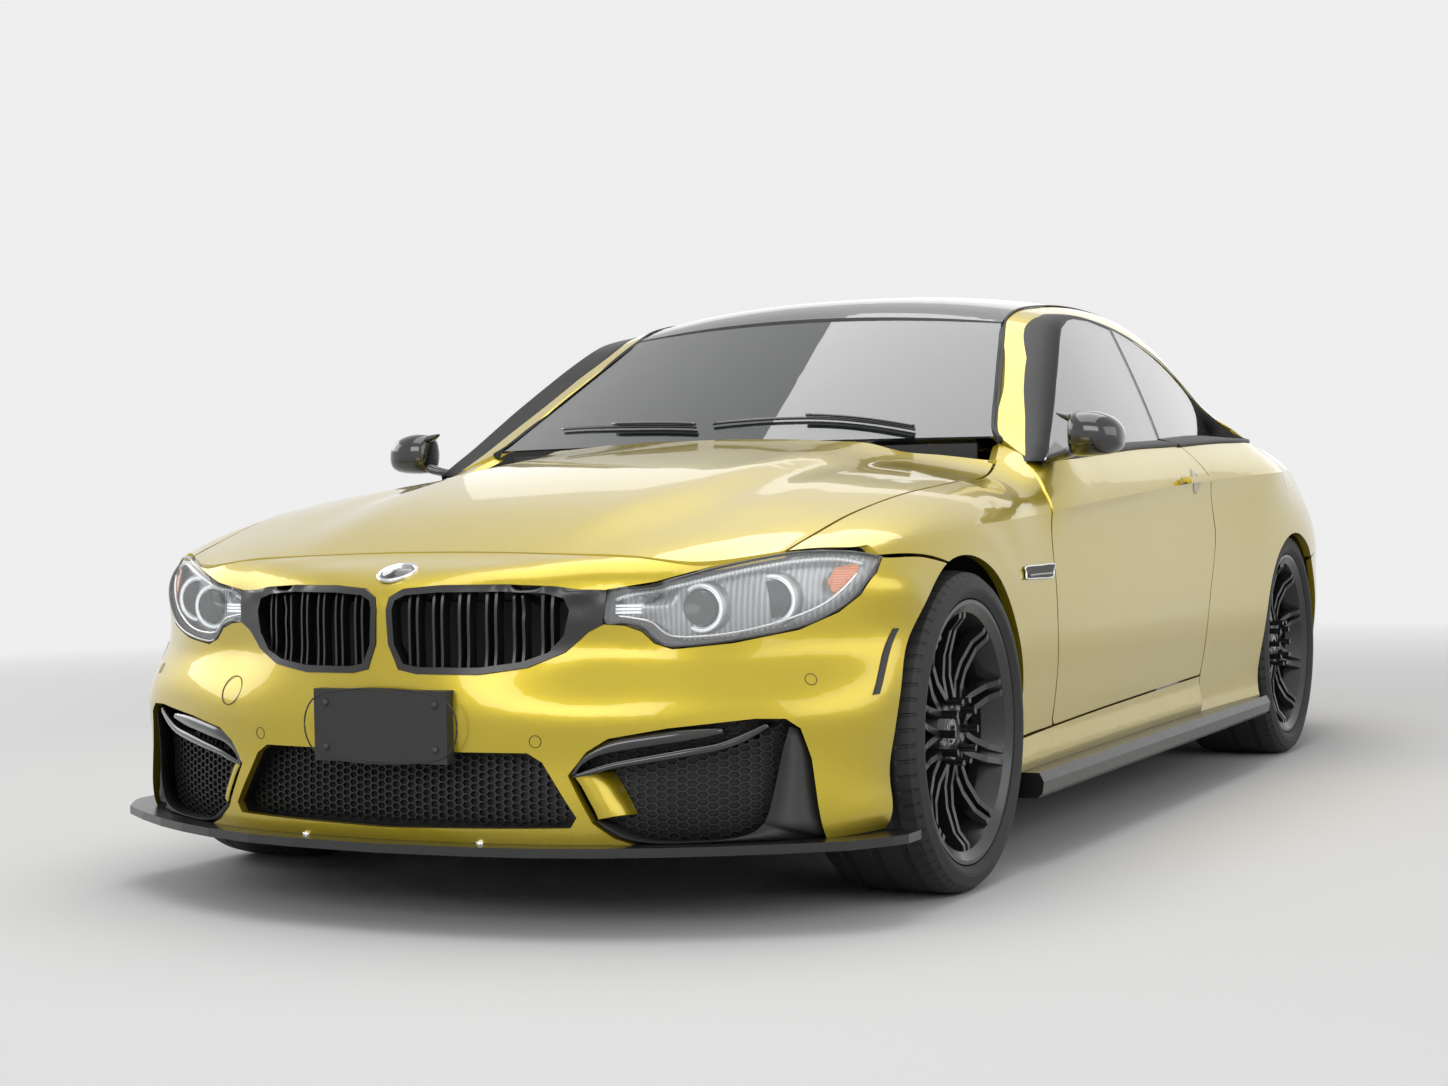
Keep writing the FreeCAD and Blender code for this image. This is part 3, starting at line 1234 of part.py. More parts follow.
def ring(centre, radius_out, radius_in, x0, x1):
    a = V(centre.x + x0, centre.y, centre.z)
    b = V(centre.x + x1, centre.y, centre.z)
    return tube(a, b, radius_out, radius_in)


def make_caliper(centre, seat, angle):
    """A brake caliper over the disc's edge, at an angle behind the axle."""
    disc_out = seat - 12
    disc_in = disc_out - size("disc_thickness")
    radius = size("disc_radius")
    shell = ring(centre, radius + 24, radius - 66, disc_in - 40, disc_out + 26)
    slot = ring(centre, radius + RUN, radius - 80, disc_in - RUN, disc_out + RUN)
    block = Part.makeBox(400, 300, 210, V(centre.x - 200, centre.y + 60, centre.z - 105))
    block.rotate(centre, X_AXIS, angle)
    return shell.common(block).cut(slot)


centre, seat = WHEELS["front"]
disc_in = seat - 12 - size("disc_thickness")
carrier = rod(V(centre.x + disc_in - 78, centre.y, centre.z), V(centre.x + disc_in - 8, centre.y, centre.z), 52)
post = rod(on_steer(place_z(205)), on_steer(place_z(470)), 24)
strut = rod(on_steer(place_z(440)), on_steer(place_z(757)), 26)
seat_cup = rod(on_steer(place_z(676)), on_steer(place_z(684)), 50)
spring = rod(on_steer(place_z(684)), on_steer(place_z(732)), 44)
bracket = Part.makeBox(26, 130, 60, V(centre.x + disc_in - 38, centre.y + 20, centre.z - 30))
knuckle = fused([carrier, post, strut, seat_cup, spring, bracket, make_caliper(centre, seat, 0)])
knuckle = knuckle.cut(rod(V(centre.x - 400, centre.y, centre.z), V(centre.x + 100, centre.y, centre.z), BORE))
low_pin = rod(on_steer(place_z(150)), on_steer(place_z(250)), PIN + size("bearing_gap"))
knuckle = knuckle.cut(low_pin)
part("knuckle_left", solids([knuckle]))
part("knuckle_right", solids([mirrored(knuckle)]))

# Front suspension: cross member, lower arms with their pins, strut mounts
arm_end = on_steer(place_z(188))
arm = rod(V(arm_end.x, arm_end.y, arm_end.z - 22), V(arm_end.x, arm_end.y, arm_end.z), 34)
pivots = [place(400, -1500, 182), place(400, -1290, 182)]
arm_links = [rod(p, V(arm_end.x, arm_end.y, arm_end.z - 12), 15) for p in pivots]
pin = rod(on_steer(place_z(180)), on_steer(place_z(245)), PIN)
arm = fused([arm] + arm_links + [pin])
cross = box((-430, -1520, 160), (430, -1270, 205)).cut(box((-300, -1470, 150), (300, -1320, 215)))
mount_top = rod(on_steer(place_z(745)), on_steer(place_z(765)), 78)
mount_top = mount_top.cut(rod(on_steer(place_z(735)), on_steer(place_z(780)), 26 + size("bearing_gap")))
rack = rod(place(-400 + SEAM, -1300, 240), place(400 - SEAM, -1300, 240), 22)
suspension = fused([cross, arm, mirrored(arm)])
part("front_suspension", solids([suspension, rack.cut(suspension)]))

# Rear suspension: fixed hub carriers on their links, the axle drive and its shafts
rear_centre, rear_seat = WHEELS["rear"]
rear_in = rear_seat - 12 - size("disc_thickness")
hub_low = V(rear_centre.x + rear_in - 78, rear_centre.y, rear_centre.z)
hub = rod(hub_low, V(rear_centre.x + rear_in - 8, rear_centre.y, rear_centre.z), 52)
bracket = Part.makeBox(26, 130, 60, V(rear_centre.x + rear_in - 38, rear_centre.y + 20, rear_centre.z - 30))
link_ends = [(place(300, 1300, 210), V(0, -20, -70)), (place(300, 1520, 210), V(0, 30, -70)), (place(330, 1380, 430), V(0, 0, 80))]
links = []
for inner_end, shift in link_ends:
    outer_end = hub_low + shift + V(20, 0, 0)
    links.append(rod(inner_end, outer_end, 16))
web = Part.makeBox(30, 70, 190, V(hub_low.x + 8, rear_centre.y - 35, rear_centre.z - 95))
shaft_end = V(rear_centre.x + rear_seat - size("axle_length") - RUN, rear_centre.y, rear_centre.z)
drive_shaft = rod(place(120, AXLE, 336), shaft_end, 15)
carrier = fused([hub, bracket, web, make_caliper(rear_centre, rear_seat, 0)] + links)
carrier = carrier.cut(rod(V(rear_centre.x - 400, rear_centre.y, rear_centre.z), V(rear_centre.x + 100, rear_centre.y, rear_centre.z), BORE))
frame_low = box((-330, 1270, 195), (330, 1550, 235)).cut(box((-250, 1320, 190), (250, 1500, 240)))
uprights = [box((s * 325 - 20, 1350, 200), (s * 325 + 20, 1410, 458 - SEAM)) for s in (-1, 1)]
drive = box((-130, 1290, 225), (130, 1520, 420))
rear_frame = fused([frame_low, drive] + uprights + [carrier, mirrored(carrier), drive_shaft, mirrored(drive_shaft)])
part("rear_suspension", solids([rear_frame]))

part("engine", box((-250, -1760, 270), (250, -1050, 715)))


# Floor, tunnel and load floor with the wheelhouses
FLOOR_Z = 190.0
BULKHEAD_TOP = 815.0
PIPE_RADIUS = 30.0
pan = box((-690, -900, FLOOR_Z), (690, 1010, FLOOR_Z + 12))
tunnel = box((-150, -900, FLOOR_Z), (150, 1010, 420)).cut(box((-140, -905, FLOOR_Z - 5), (140, 1015, 410)))
bulkhead = box((-690, -912, FLOOR_Z), (690, -900, BULKHEAD_TOP))
bulkhead = bulkhead.cut(rod(place(0, -1000, 235), place(0, -800, 235), PIPE_RADIUS + SEAM))
heel = box((-600, 1010, FLOOR_Z), (600, 1022, 470))
load_floor = box((-600, 1022, 458), (600, 2290, 470))
floor = fused([pan.cut(box((-140, -905, 180), (140, 1015, 210))), tunnel, bulkhead, heel, load_floor])
part("floor", solids([floor]))
HOUSE_WALL = 4.0


def wheelhouse(y, z, radius, inner_x, outer_x):
    """A half drum over a wheel with its inner wall."""
    a = place(inner_x, y, z)
    b = V(place_x(outer_x), a.y, a.z)
    drum = tube(a, b, radius, radius - HOUSE_WALL).fuse(rod(a, a + V(HOUSE_WALL, 0, 0), radius))
    return drum.cut(Part.makeBox(900, 4 * radius, radius + 400, V(a.x - 100, a.y - 2 * radius, a.z - radius - 460)))


front_house = wheelhouse(-AXLE, 335, 422, 462, 850)
rear_house = wheelhouse(AXLE, 330, 372, 622, 880)
front_house = front_house.cut(rod(on_steer(place_z(600)), on_steer(place_z(900)), 84))
front_house = front_house.cut(box((440, -1560, 150), (480, -1240, 300)))
rear_house = rear_house.cut(box((600, 1290, 100), (640, 1540, 560)))
fender_space = make_fender(SEAM)
quarter_space = make_quarter(SEAM)
corner_space = make_rear_corner(SEAM)
sill_space = make_sill(SEAM)
tail_space = make_rear_bumper(SEAM)
for space in bumper_spaces + [fender_space, sill_space, over_bumper]:
    front_house = front_house.cut(space)
front_house = front_house.cut(prism(inset(LAMP, -1.0), "y", NOSE_FAR, -1670))
front_house = front_house.cut(box((428, -1472, 748), (532, -1340, 766)))
for space in (quarter_space, corner_space, tail_space):
    rear_house = rear_house.cut(space)
part("wheelhouses", solids([front_house, mirrored(front_house), rear_house, mirrored(rear_house)]))

# Front structure: side rails, radiator and its frame, strut towers
rails = [box((s * 427 - 27, -1960, 250), (s * 427 + 27, -912 - SEAM, 350)) for s in (-1, 1)]
beam = box((-430, -2180, 420), (430, -2000, 480)).cut(bumper_spaces[0]).cut(bumper_spaces[1])
crash = [box((s * 427 - 27, -2000, 330), (s * 427 + 27, -1930, 440)) for s in (-1, 1)]
radiator = box((-400, -1925, 250), (400, -1870, 620))
engine_mounts = [box((min(s * 250, s * 400) + (SEAM if s > 0 else 0), -1420, 300), (max(s * 250, s * 400) - (SEAM if s < 0 else 0), -1370, 345))
                 for s in (-1, 1)]
front_structure = fused(rails + [beam] + crash + [radiator] + engine_mounts)
tower_leg = box((432, -1470, 340), (461, -1342, 765)).fuse(box((432, -1470, 749), (530, -1342, 765)))
towers = mount_top.fuse(tower_leg)
front_structure = fused([front_structure, towers, mirrored(towers)])
part("front_structure", solids([front_structure]))


# Door frames under the outer skin: hinge pillar, sill and lock pillar on each side
def under_skin(y0, y1, z0, z1, sunk, depth, rows=3, columns=4):
    target = coons(straight(on_side(y0, z0), on_side(y1, z0)), straight(on_side(y0, z1), on_side(y1, z1)),
                   straight(on_side(y0, z0), on_side(y0, z1)), straight(on_side(y1, z0), on_side(y1, z1)))
    return panel("out", [(target, rows)], columns, depth, lambda x, y, z: lower_body(x, y, z) + sunk)


hinge_pillar = under_skin(-976, -926, 300, 840, 24, 90).cut(fender_space).cut(sill_space)
lock_pillar = under_skin(650, 720, 300, 900, 24, 90).cut(quarter_space).cut(sill_space)

def hinge_leaves(z):
    """The body's half of one door hinge: two leaves and the pin."""
    x, y = DOOR_HINGE
    leaves = [rod(place(x, y, z - LEAF_OUT), place(x, y, z + LEAF_OUT), size("hinge_pin_radius"))]
    for low, high in ((z - LEAF_OUT, z - EYE_HALF - SEAM), (z + EYE_HALF + SEAM, z + LEAF_OUT)):
        leaves.append(rod(place(x, y, low), place(x, y, high), EYE_RADIUS))
        leaves.append(box((x - 12, y - 72, low), (x, y, high)))
    return fused(leaves)


for z in DOOR_HINGE_HEIGHTS:
    hinge_pillar = hinge_pillar.fuse(hinge_leaves(z))
x, y, z = BONNET_HINGE
bonnet_pin = rod(place(x - 14, y, z), place(735, y, z), size("hinge_pin_radius")).cut(fender_space)
x, y, z = LID_HINGE_AT
lid_pin = rod(place(x - 14, y, z), place(715, y, z), size("hinge_pin_radius")).cut(corner_space)
frames = [hinge_pillar, lock_pillar, bonnet_pin, lid_pin]
part("door_frames", solids(frames + [mirrored(s) for s in frames]))


# Cabin: seats, dashboard, steering wheel, parcel shelf
def rounded(low, high, radius):
    shape = box(low, high)
    return shape.makeFillet(radius, shape.Edges).Solids[0]


def make_seat(x):
    cushion = rounded((x - 205, -330, 280), (x + 205, 230, 420), 40)
    back = rounded((x - 200, 0, -40), (x + 200, 120, 640), 40)
    back.rotate(place(x, 60, 0), X_AXIS, -20)
    back.translate(V(0, place_y(235) - place_y(60), place_z(330)))
    rest = rounded((x - 130, 0, 660), (x + 130, 90, 820), 35)
    rest.rotate(place(x, 60, 0), X_AXIS, -20)
    rest.translate(V(0, place_y(235) - place_y(60), place_z(330)))
    posts = [rod(V(s, back.BoundBox.YMax - 60, back.BoundBox.ZMax - 60), V(s, rest.CenterOfMass.y, rest.CenterOfMass.z), 7) for s in (place_x(x - 50), place_x(x + 50))]
    base = box((x - 195, -250, FLOOR_Z + 12), (x + 195, 180, 300))
    return fused([base, cushion, back, rest] + posts)


seat_left = make_seat(370)
part("front_seats", solids([seat_left, mirrored(seat_left)]))
bench = rounded((-560, 620, 250), (560, 1005, 400), 40)
squab = rounded((-560, 0, 0), (560, 110, 560), 40)
squab.rotate(place(0, 55, 0), X_AXIS, -24)
squab.translate(V(0, place_y(930) - place_y(55), place_z(370)))
shelf = box((-560, 1150, 900), (560, 1640, 912)).fuse(box((-560, 1150, 840), (560, 1220, 912)))
room = [box((-150 - SEAM, 600, 0), (150 + SEAM, 1060, 420 + SEAM)), box((-620, 1010 - SEAM, 180), (620, 2290, 470 + SEAM))]
bench = bench.fuse(squab).cut(room[0]).cut(room[1])
part("rear_seat", solids([bench, shelf.cut(squab)]))


def screen_foot(x):
    """The front edge of the windscreen seen from above."""
    return -762 + 3.6e-4 * x * x


def foot_band(near, far, x):
    """A strip along the windscreen's foot seen from above, between two distances behind it."""
    ahead = [(s, screen_foot(s) + near) for s in range(-x, x + 1, 40)]
    return ahead + [(s, screen_foot(s) + far) for s in range(x, -x - 1, -40)]


COWL_Z = BULKHEAD_TOP + SEAM
COWL_THICK = 12.0
plate = prism([(-640, -905), (640, -905)] + [(s, screen_foot(s) + 12) for s in range(640, -641, -40)], "z", COWL_Z, COWL_Z + COWL_THICK)
wall = prism(foot_band(4, 12, 640), "z", COWL_Z + COWL_THICK - 1, 936)
part("cowl", solids([plate.fuse(wall)]))
dash = rounded((-660, -745, 600), (660, -560, 880), 60)
lower_dash = rounded((-640, -899.7, 560), (640, -620, 790), 30)
ahead_of_screen = [(-700, -1000), (700, -1000)] + [(s, screen_foot(s) + 12 + SEAM) for s in range(700, -701, -50)]
dash = dash.fuse(lower_dash).cut(prism(ahead_of_screen, "z", COWL_Z - SEAM, 1100))
console = rounded((-130, -560, 420 + SEAM), (130, 480, 560), 30)
column = rod(place(370, -600, 720), place(370, -408, 773), 28)
part("dashboard", solids([dash.fuse(console).fuse(column)]))
hub_at = place(370, -405, 774)
lean = V(0, 0.96, 0.28)
wheel_ring = Part.makeTorus(178, 15, hub_at, lean)
boss = Part.makeCylinder(55, 34, hub_at - lean * 14, lean)
arms = [rod(hub_at, hub_at + d, 11) for d in (V(172, 0, 0), V(-172, 0, 0), V(0, 48, -165))]
steering_wheel = fused([wheel_ring, boss] + arms).cut(column)
part("steering_wheel", solids([steering_wheel]))

# Door mirrors with two swept tips and their stalks on the doors
mirror_profile = [(812, 884), (846, 926), (880, 952), (900, 1006), (930, 990), (990, 984), (1004, 950), (996, 912), (960, 892), (900, 884)]
head = prism(mirror_profile, "y", -668, -580)
stalk = box((800, -640, 872), (852, -596, 905))
mirror = head.fuse(stalk).cut(door).cut(glass_left)
part("mirror_left", solids([mirror]))
part("mirror_right", solids([mirrored(mirror)]))


# Trim that sits on the skin, given by its corners seen from the side as (y, z)
def skin_patch(corners, proud, depth, rows=3, columns=6):
    a, b, c, d = [on_side(y, z) for y, z in corners]
    target = coons(straight(a, b), straight(d, c), straight(a, d), straight(b, c))
    return panel("out", [(target, rows)], columns, depth, lambda x, y, z: lower_body(x, y, z) - proud)


TRIM_HEIGHT = 4.5
gill = skin_patch([(-1041, 629), (-849, 626), (-823, 654), (-1031, 655)], TRIM_HEIGHT, TRIM_HEIGHT - SEAM)
marker = skin_patch([(-1823, 440), (-1811, 440), (-1726, 561), (-1738, 561)], TRIM_HEIGHT, TRIM_HEIGHT - 4 * SEAM)
bracket = box((-152, -2218, 325), (152, -2180, 465)).cut(make_front_bumper(40, 2 * SEAM))
part("side_trims", solids([gill, mirrored(gill), marker, mirrored(marker), bracket]))

# Door handles: a grip carried clear of the door on two feet
GRIP_OUT = 26.0
GRIP_DEPTH = 13.0
grip = skin_patch([(300, 832), (520, 836), (520, 852), (300, 848)], GRIP_OUT, GRIP_DEPTH)
feet = [skin_patch([(y0, z0), (y1, z0), (y1, z1), (y0, z1)], GRIP_OUT - GRIP_DEPTH + 1, GRIP_OUT - GRIP_DEPTH + 1 - SEAM)
        for y0, y1, z0, z1 in ((306, 336, 835, 846), (484, 514, 838, 849))]
handle = fused([grip] + feet)
part("handle_left", solids([handle]))
part("handle_right", solids([mirrored(handle)]))

# Side skirts, diffuser and its fins
skirt = prism([(812, SKIRT_TOP - SEAM), (924, SKIRT_TOP - SEAM), (934, 186), (930, 160), (918, 150), (812, 150)], "y", -1036, 1046)
diffuser = prism([(1900, 172), (2120, 176), (2390, 226), (2405, 243), (2385, 246), (2120, 196), (1900, 190)], "x", -355, 355)
fins = [prism([(2080, 150), (2330, 170), (2395, 226), (2120, 180), (2080, 178)], "x", x - 5, x + 5) for x in (-270, -90, 90, 270)]
part("skirts", solids([skirt, mirrored(skirt), fused([diffuser] + fins).cut(tail_space)]))

# Exhaust: silencer and four tips through the rear bumper
silencer = rounded((-360, 1880, 250), (360, 2080, 345), 40)
tips = []
for x, z in TIPS:
    tail_end = place(x, 2382, z)
    tips.append(tube(place(x, 2200, z), tail_end, TIP_RADIUS, TIP_RADIUS - 4))
    tips.append(rod(place(x, 2200, z), place(x, 2206, z), TIP_RADIUS - 1))
    tips.append(rod(place(x * 0.6, 1980, 295), place(x, 2204, z), 22))
pipe = rod(place(0, -1000, 235), place(0, 1010, 235), PIPE_RADIUS)
hanger = box((-12, 1970, 330), (12, 1990, 458 - SEAM))
exhaust = fused([silencer, hanger] + tips)
part("exhaust", solids([exhaust, pipe]))

doc.recompute()
os.makedirs("parts", exist_ok=True)
for piece in made:
    shape = piece.Shape
    failed = "Invalid" in piece.State or "Error" in piece.State
    if failed or shape.isNull() or not shape.isValid():
        raise ValueError("%s has no valid shape" % piece.Label)
    if not shape.Solids:
        raise ValueError("%s has no solid" % piece.Label)
    shape.exportStep("parts/%s.step" % piece.Label)
    low = shape.BoundBox
    print("%-20s %2d solids %9.1f cm3  x %6.0f %6.0f  y %6.0f %6.0f  z %5.0f %5.0f" % (
        piece.Label, len(shape.Solids), shape.Volume / 1000, low.XMin, low.XMax, low.YMin, low.YMax, low.ZMin, low.ZMax))
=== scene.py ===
# %% [markdown]
# # Coupe car: looks
# The solid model is the frame: its nodes come in with their bodies. This script gives them finishes and
# adds what the solids leave out, such as the insides of lamps, seals, honeycomb and padding. Lengths are
# metres in the frame's own axes: the front of the car faces -Y, its left side is +X and +Z is up.

import json
import math

import bmesh
import bpy
from mathutils import Matrix, Vector
from mathutils.bvhtree import BVHTree


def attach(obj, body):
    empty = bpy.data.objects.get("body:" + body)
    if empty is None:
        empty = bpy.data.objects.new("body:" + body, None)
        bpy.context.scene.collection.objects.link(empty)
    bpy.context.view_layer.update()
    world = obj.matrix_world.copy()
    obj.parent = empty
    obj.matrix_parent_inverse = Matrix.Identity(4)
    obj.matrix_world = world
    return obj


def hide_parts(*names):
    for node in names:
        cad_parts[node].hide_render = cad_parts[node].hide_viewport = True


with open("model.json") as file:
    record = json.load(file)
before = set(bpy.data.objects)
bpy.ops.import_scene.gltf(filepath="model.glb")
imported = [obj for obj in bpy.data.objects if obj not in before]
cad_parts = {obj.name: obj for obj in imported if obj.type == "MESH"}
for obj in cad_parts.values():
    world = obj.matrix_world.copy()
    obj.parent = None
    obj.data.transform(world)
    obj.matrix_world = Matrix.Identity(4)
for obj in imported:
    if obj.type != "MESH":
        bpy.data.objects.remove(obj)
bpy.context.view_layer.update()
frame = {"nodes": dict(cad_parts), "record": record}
nodes = frame["nodes"]
print("nodes in the frame:", len(nodes))

# %% [markdown]
# ## Camera
# A camera can be matched to a photograph by eye, by moving it until the outlines agree. This one was
# solved on points that are known on the car: the wheels, the ground and the roof line. It stands low,
# ahead of the left front wheel. The lens's middle isn't the picture's, so the sensor is shifted.

# %% Camera
IMAGE_WIDTH = 1448
IMAGE_HEIGHT = 1086
CAMERA_PLACE = Vector((2.6435, -6.2651, 0.8261))
CAMERA_YAW = -0.4750
CAMERA_PITCH = -0.0177
CAMERA_ROLL = -0.0206
FOCAL_PIXELS = 2455.26
OPTICAL_CENTRE = (661.56, 539.45)
SENSOR_WIDTH = 36.0


def camera_axes():
    """The camera's right, up and forward directions."""
    forward = Vector((math.sin(CAMERA_YAW) * math.cos(CAMERA_PITCH),
                      math.cos(CAMERA_YAW) * math.cos(CAMERA_PITCH), math.sin(CAMERA_PITCH)))
    level = Vector((math.cos(CAMERA_YAW), -math.sin(CAMERA_YAW), 0))
    above = level.cross(forward)
    right = math.cos(CAMERA_ROLL) * level + math.sin(CAMERA_ROLL) * above
    up = math.cos(CAMERA_ROLL) * above - math.sin(CAMERA_ROLL) * level
    return right, up, forward


def add_camera():
    """The view that the photograph has."""
    right, up, forward = camera_axes()
    data = bpy.data.cameras.new("camera")
    data.sensor_width = SENSOR_WIDTH
    data.lens = FOCAL_PIXELS / IMAGE_WIDTH * SENSOR_WIDTH
    data.shift_x = (IMAGE_WIDTH / 2 - OPTICAL_CENTRE[0]) / IMAGE_WIDTH
    data.shift_y = (OPTICAL_CENTRE[1] - IMAGE_HEIGHT / 2) / IMAGE_WIDTH
    camera = bpy.data.objects.new("camera", data)
    turn = Matrix((right, up, -forward)).transposed().to_4x4()
    camera.matrix_world = Matrix.Translation(CAMERA_PLACE) @ turn
    bpy.context.scene.collection.objects.link(camera)
    bpy.context.scene.camera = camera


add_camera()
print("camera stands", round(CAMERA_PLACE.length, 2), "m from the frame's origin")

# %% [markdown]
# ## Studio
# Glossy paint shows what stands around it, so a car is lit by large soft boxes. Small lamps would leave
# hard spots. One box hangs over the car and four stand round it, which gives long bands of light on its
# sides. The floor is one plane that runs into the backdrop's tone far off.

# %% Studio
BACKDROP_TONE = 0.86
FLOOR_HALF = 40.0
bpy.context.scene.view_settings.view_transform = "Standard"


def collect(obj):
    """Links an object into the scene."""
    bpy.context.scene.collection.objects.link(obj)
    return obj


def add_area_lamp(name, place, target, width, height, power):
    """A soft box at a place, turned to its target; its power is in watts."""
    data = bpy.data.lights.new(name, "AREA")
    data.shape = "RECTANGLE"
    data.size = width
    data.size_y = height
    data.energy = power
    lamp = collect(bpy.data.objects.new(name, data))
    lamp.location = place
    lamp.rotation_euler = (Vector(target) - Vector(place)).to_track_quat("-Z", "Y").to_euler()


LAMPS = [
    ("lamp_above", (0.0, -0.3, 4.6), (0, 0, 0.6), 3.4, 7.0, 150),
    ("lamp_left", (6.0, -2.0, 2.6), (0, -0.2, 0.6), 7.0, 3.0, 100),
    ("lamp_front", (0.5, -8.5, 3.4), (0, -1.0, 0.5), 6.0, 2.4, 150),
    ("lamp_right", (-6.0, -0.5, 3.0), (0, 0, 0.6), 6.0, 2.2, 90),
    ("lamp_back", (-1.5, 8.0, 3.0), (0, 1.0, 0.6), 9.0, 3.4, 42),
]
for lamp in LAMPS:
    add_area_lamp(*lamp)


def add_floor():
    """A flat floor that stays pale to the horizon."""
    half = FLOOR_HALF
    corners = [(-half, -half, 0), (half, -half, 0), (half, half, 0), (-half, half, 0)]
    mesh = bpy.data.meshes.new("floor_plane")
    mesh.from_pydata(corners, [], [(0, 1, 2, 3)])
    floor = collect(bpy.data.objects.new("studio_floor", mesh))
    return floor


studio_floor = add_floor()
print("lamps:", len(LAMPS))

# %% [markdown]
# ## Shader maths
# Nodes can be joined by hand in the editor, but ten of them are hard to read again. This class carries a
# node's output, so the formulas below read as plain arithmetic. Its reflected forms let a bare number
# stand first, and one method adds every other kind of node.

# %% Shader maths


class Value:
    """An output socket in a material's node tree, with arithmetic."""

    def __init__(self, tree, socket):
        self.tree = tree
        self.socket = socket

    def node(self, kind, inputs=(), output=0, **settings):
        """Adds a node, sets its properties and inputs, and returns one of its outputs."""
        made = self.tree.nodes.new(kind)
        for name, setting in settings.items():
            setattr(made, name, setting)
        for key, given in dict(inputs).items():
            if isinstance(given, Value):
                self.tree.links.new(given.socket, made.inputs[key])
            else:
                made.inputs[key].default_value = given
        return Value(self.tree, made.outputs[output])

    def maths(self, operation, *others, clamp=False):
        """One maths node, with this value as its first input."""
        values = dict(enumerate((self,) + others))
        return self.node("ShaderNodeMath", values, operation=operation, use_clamp=clamp)

    def __add__(self, other):
        return self.maths("ADD", other)

    def __sub__(self, other):
        return self.maths("SUBTRACT", other)

    def __mul__(self, other):
        return self.maths("MULTIPLY", other)

    def __truediv__(self, other):
        return self.maths("DIVIDE", other)

    def __radd__(self, other):
        return self.maths("ADD", other)

    def __rsub__(self, other):
        return self.maths("MULTIPLY", -1.0).maths("ADD", other)

    def __rmul__(self, other):
        return self.maths("MULTIPLY", other)

    def part(self, axis):
        """One coordinate of a vector."""
        return self.node("ShaderNodeSeparateXYZ", {0: self}, output="XYZ".index(axis))

    def clamped(self):
        """The value kept between zero and one."""
        return self.maths("ADD", 0.0, clamp=True)

    def above(self, edge, width):
        """Zero below edge, one above it, over a soft width."""
        return ((self - edge) / width).clamped()

    def blend(self, low, high):
        """A colour between two, with this value as the share of the second."""
        return self.node("ShaderNodeMix", {0: self, 6: low, 7: high}, output=2, data_type="RGBA")

    def noise(self, scale, detail=3.0, roughness=0.55):
        """Soft clouds, read at this place."""
        inputs = {"Vector": self, "Scale": scale, "Detail": detail, "Roughness": roughness}
        return self.node("ShaderNodeTexNoise", inputs)

    def cells(self, scale, output="Distance"):
        """Scattered cells: the distance to the nearest one's centre, or its own colour."""
        return self.node("ShaderNodeTexVoronoi", {"Vector": self, "Scale": scale}, output=output)

    def bump(self, strength, distance):
        """A normal tilted by this value as a height; the distance is in metres."""
        return self.node("ShaderNodeBump", {"Height": self, "Strength": strength, "Distance": distance})


class Material:
    """A material with one Principled shader, its inputs set by name."""

    def __init__(self, name, **inputs):
        self.data = bpy.data.materials.new(name)
        self.data.use_nodes = True
        self.tree = self.data.node_tree
        self.shader = self.tree.nodes["Principled BSDF"]
        self.place = self.input_node("ShaderNodeTexCoord", "Object")
        self.set(**inputs)

    def input_node(self, kind, output, **settings):
        """A node that has no inputs, such as the object's own coordinates."""
        made = self.tree.nodes.new(kind)
        for name, setting in settings.items():
            setattr(made, name, setting)
        return Value(self.tree, made.outputs[output])

    def set(self, **inputs):
        """Gives the shader's inputs a value node or a plain setting."""
        for name, given in inputs.items():
            socket = self.shader.inputs[name.replace("_", " ").title().replace("Ior", "IOR")]
            if isinstance(given, Value):
                self.tree.links.new(given.socket, socket)
            else:
                socket.default_value = given
        return self


def grey(level):
    """A colour without a hue."""
    return (level, level, level, 1.0)


print("shader maths ready:", len([n for n in dir(Value) if not n.startswith("__")]), "named operations")

# %% [markdown]
# ## Paint and lacquer
# Metallic paint is a coloured layer with fine flakes under a clear coat. A picture could hold the flakes,
# but cells of less than half a millimetre, read at the object's own coordinates, need no unwrapping and
# never blur. The blacks differ in how much haze breaks their gloss. Carbon is a woven twill under the same
# clear coat.

# %% Paint and lacquer
FLAKE_SCALE = 2600.0
PAINT_DARK = (0.45, 0.340, 0.008, 1)
PAINT_LIGHT = (0.60, 0.465, 0.018, 1)
BUNDLE = 0.0024


def paint_material():
    """Metallic paint under a clear coat: fine flakes turn the light a little each way."""
    paint = Material("paint", metallic=0.72, coat_weight=1.0, coat_roughness=0.035, coat_ior=1.5)
    speck = paint.place.cells(FLAKE_SCALE, "Color").part("X")
    cloud = paint.place.noise(3.0, 1.0)
    tone = (speck * 0.5 + cloud * 0.25).clamped()
    paint.set(base_color=tone.blend(PAINT_DARK, PAINT_LIGHT), roughness=speck * 0.10 + 0.30)
    return paint.data


def black_material(name, level, roughness, haze, coat, coat_roughness):
    """Black lacquer; haze is how far soft clouds raise its roughness."""
    black = Material(name, base_color=grey(level), coat_weight=coat, coat_roughness=coat_roughness)
    black.set(roughness=black.place.noise(45.0, 2.0) * haze + roughness)
    return black.data


def gloss_black_material():
    return black_material("gloss_black", 0.006, 0.12, 0.08, 1.0, 0.02)


def satin_black_material():
    """Lacquer that has lost its mirror gloss, for the low trim that stones hit."""
    return black_material("satin_black", 0.007, 0.30, 0.12, 0.35, 0.18)


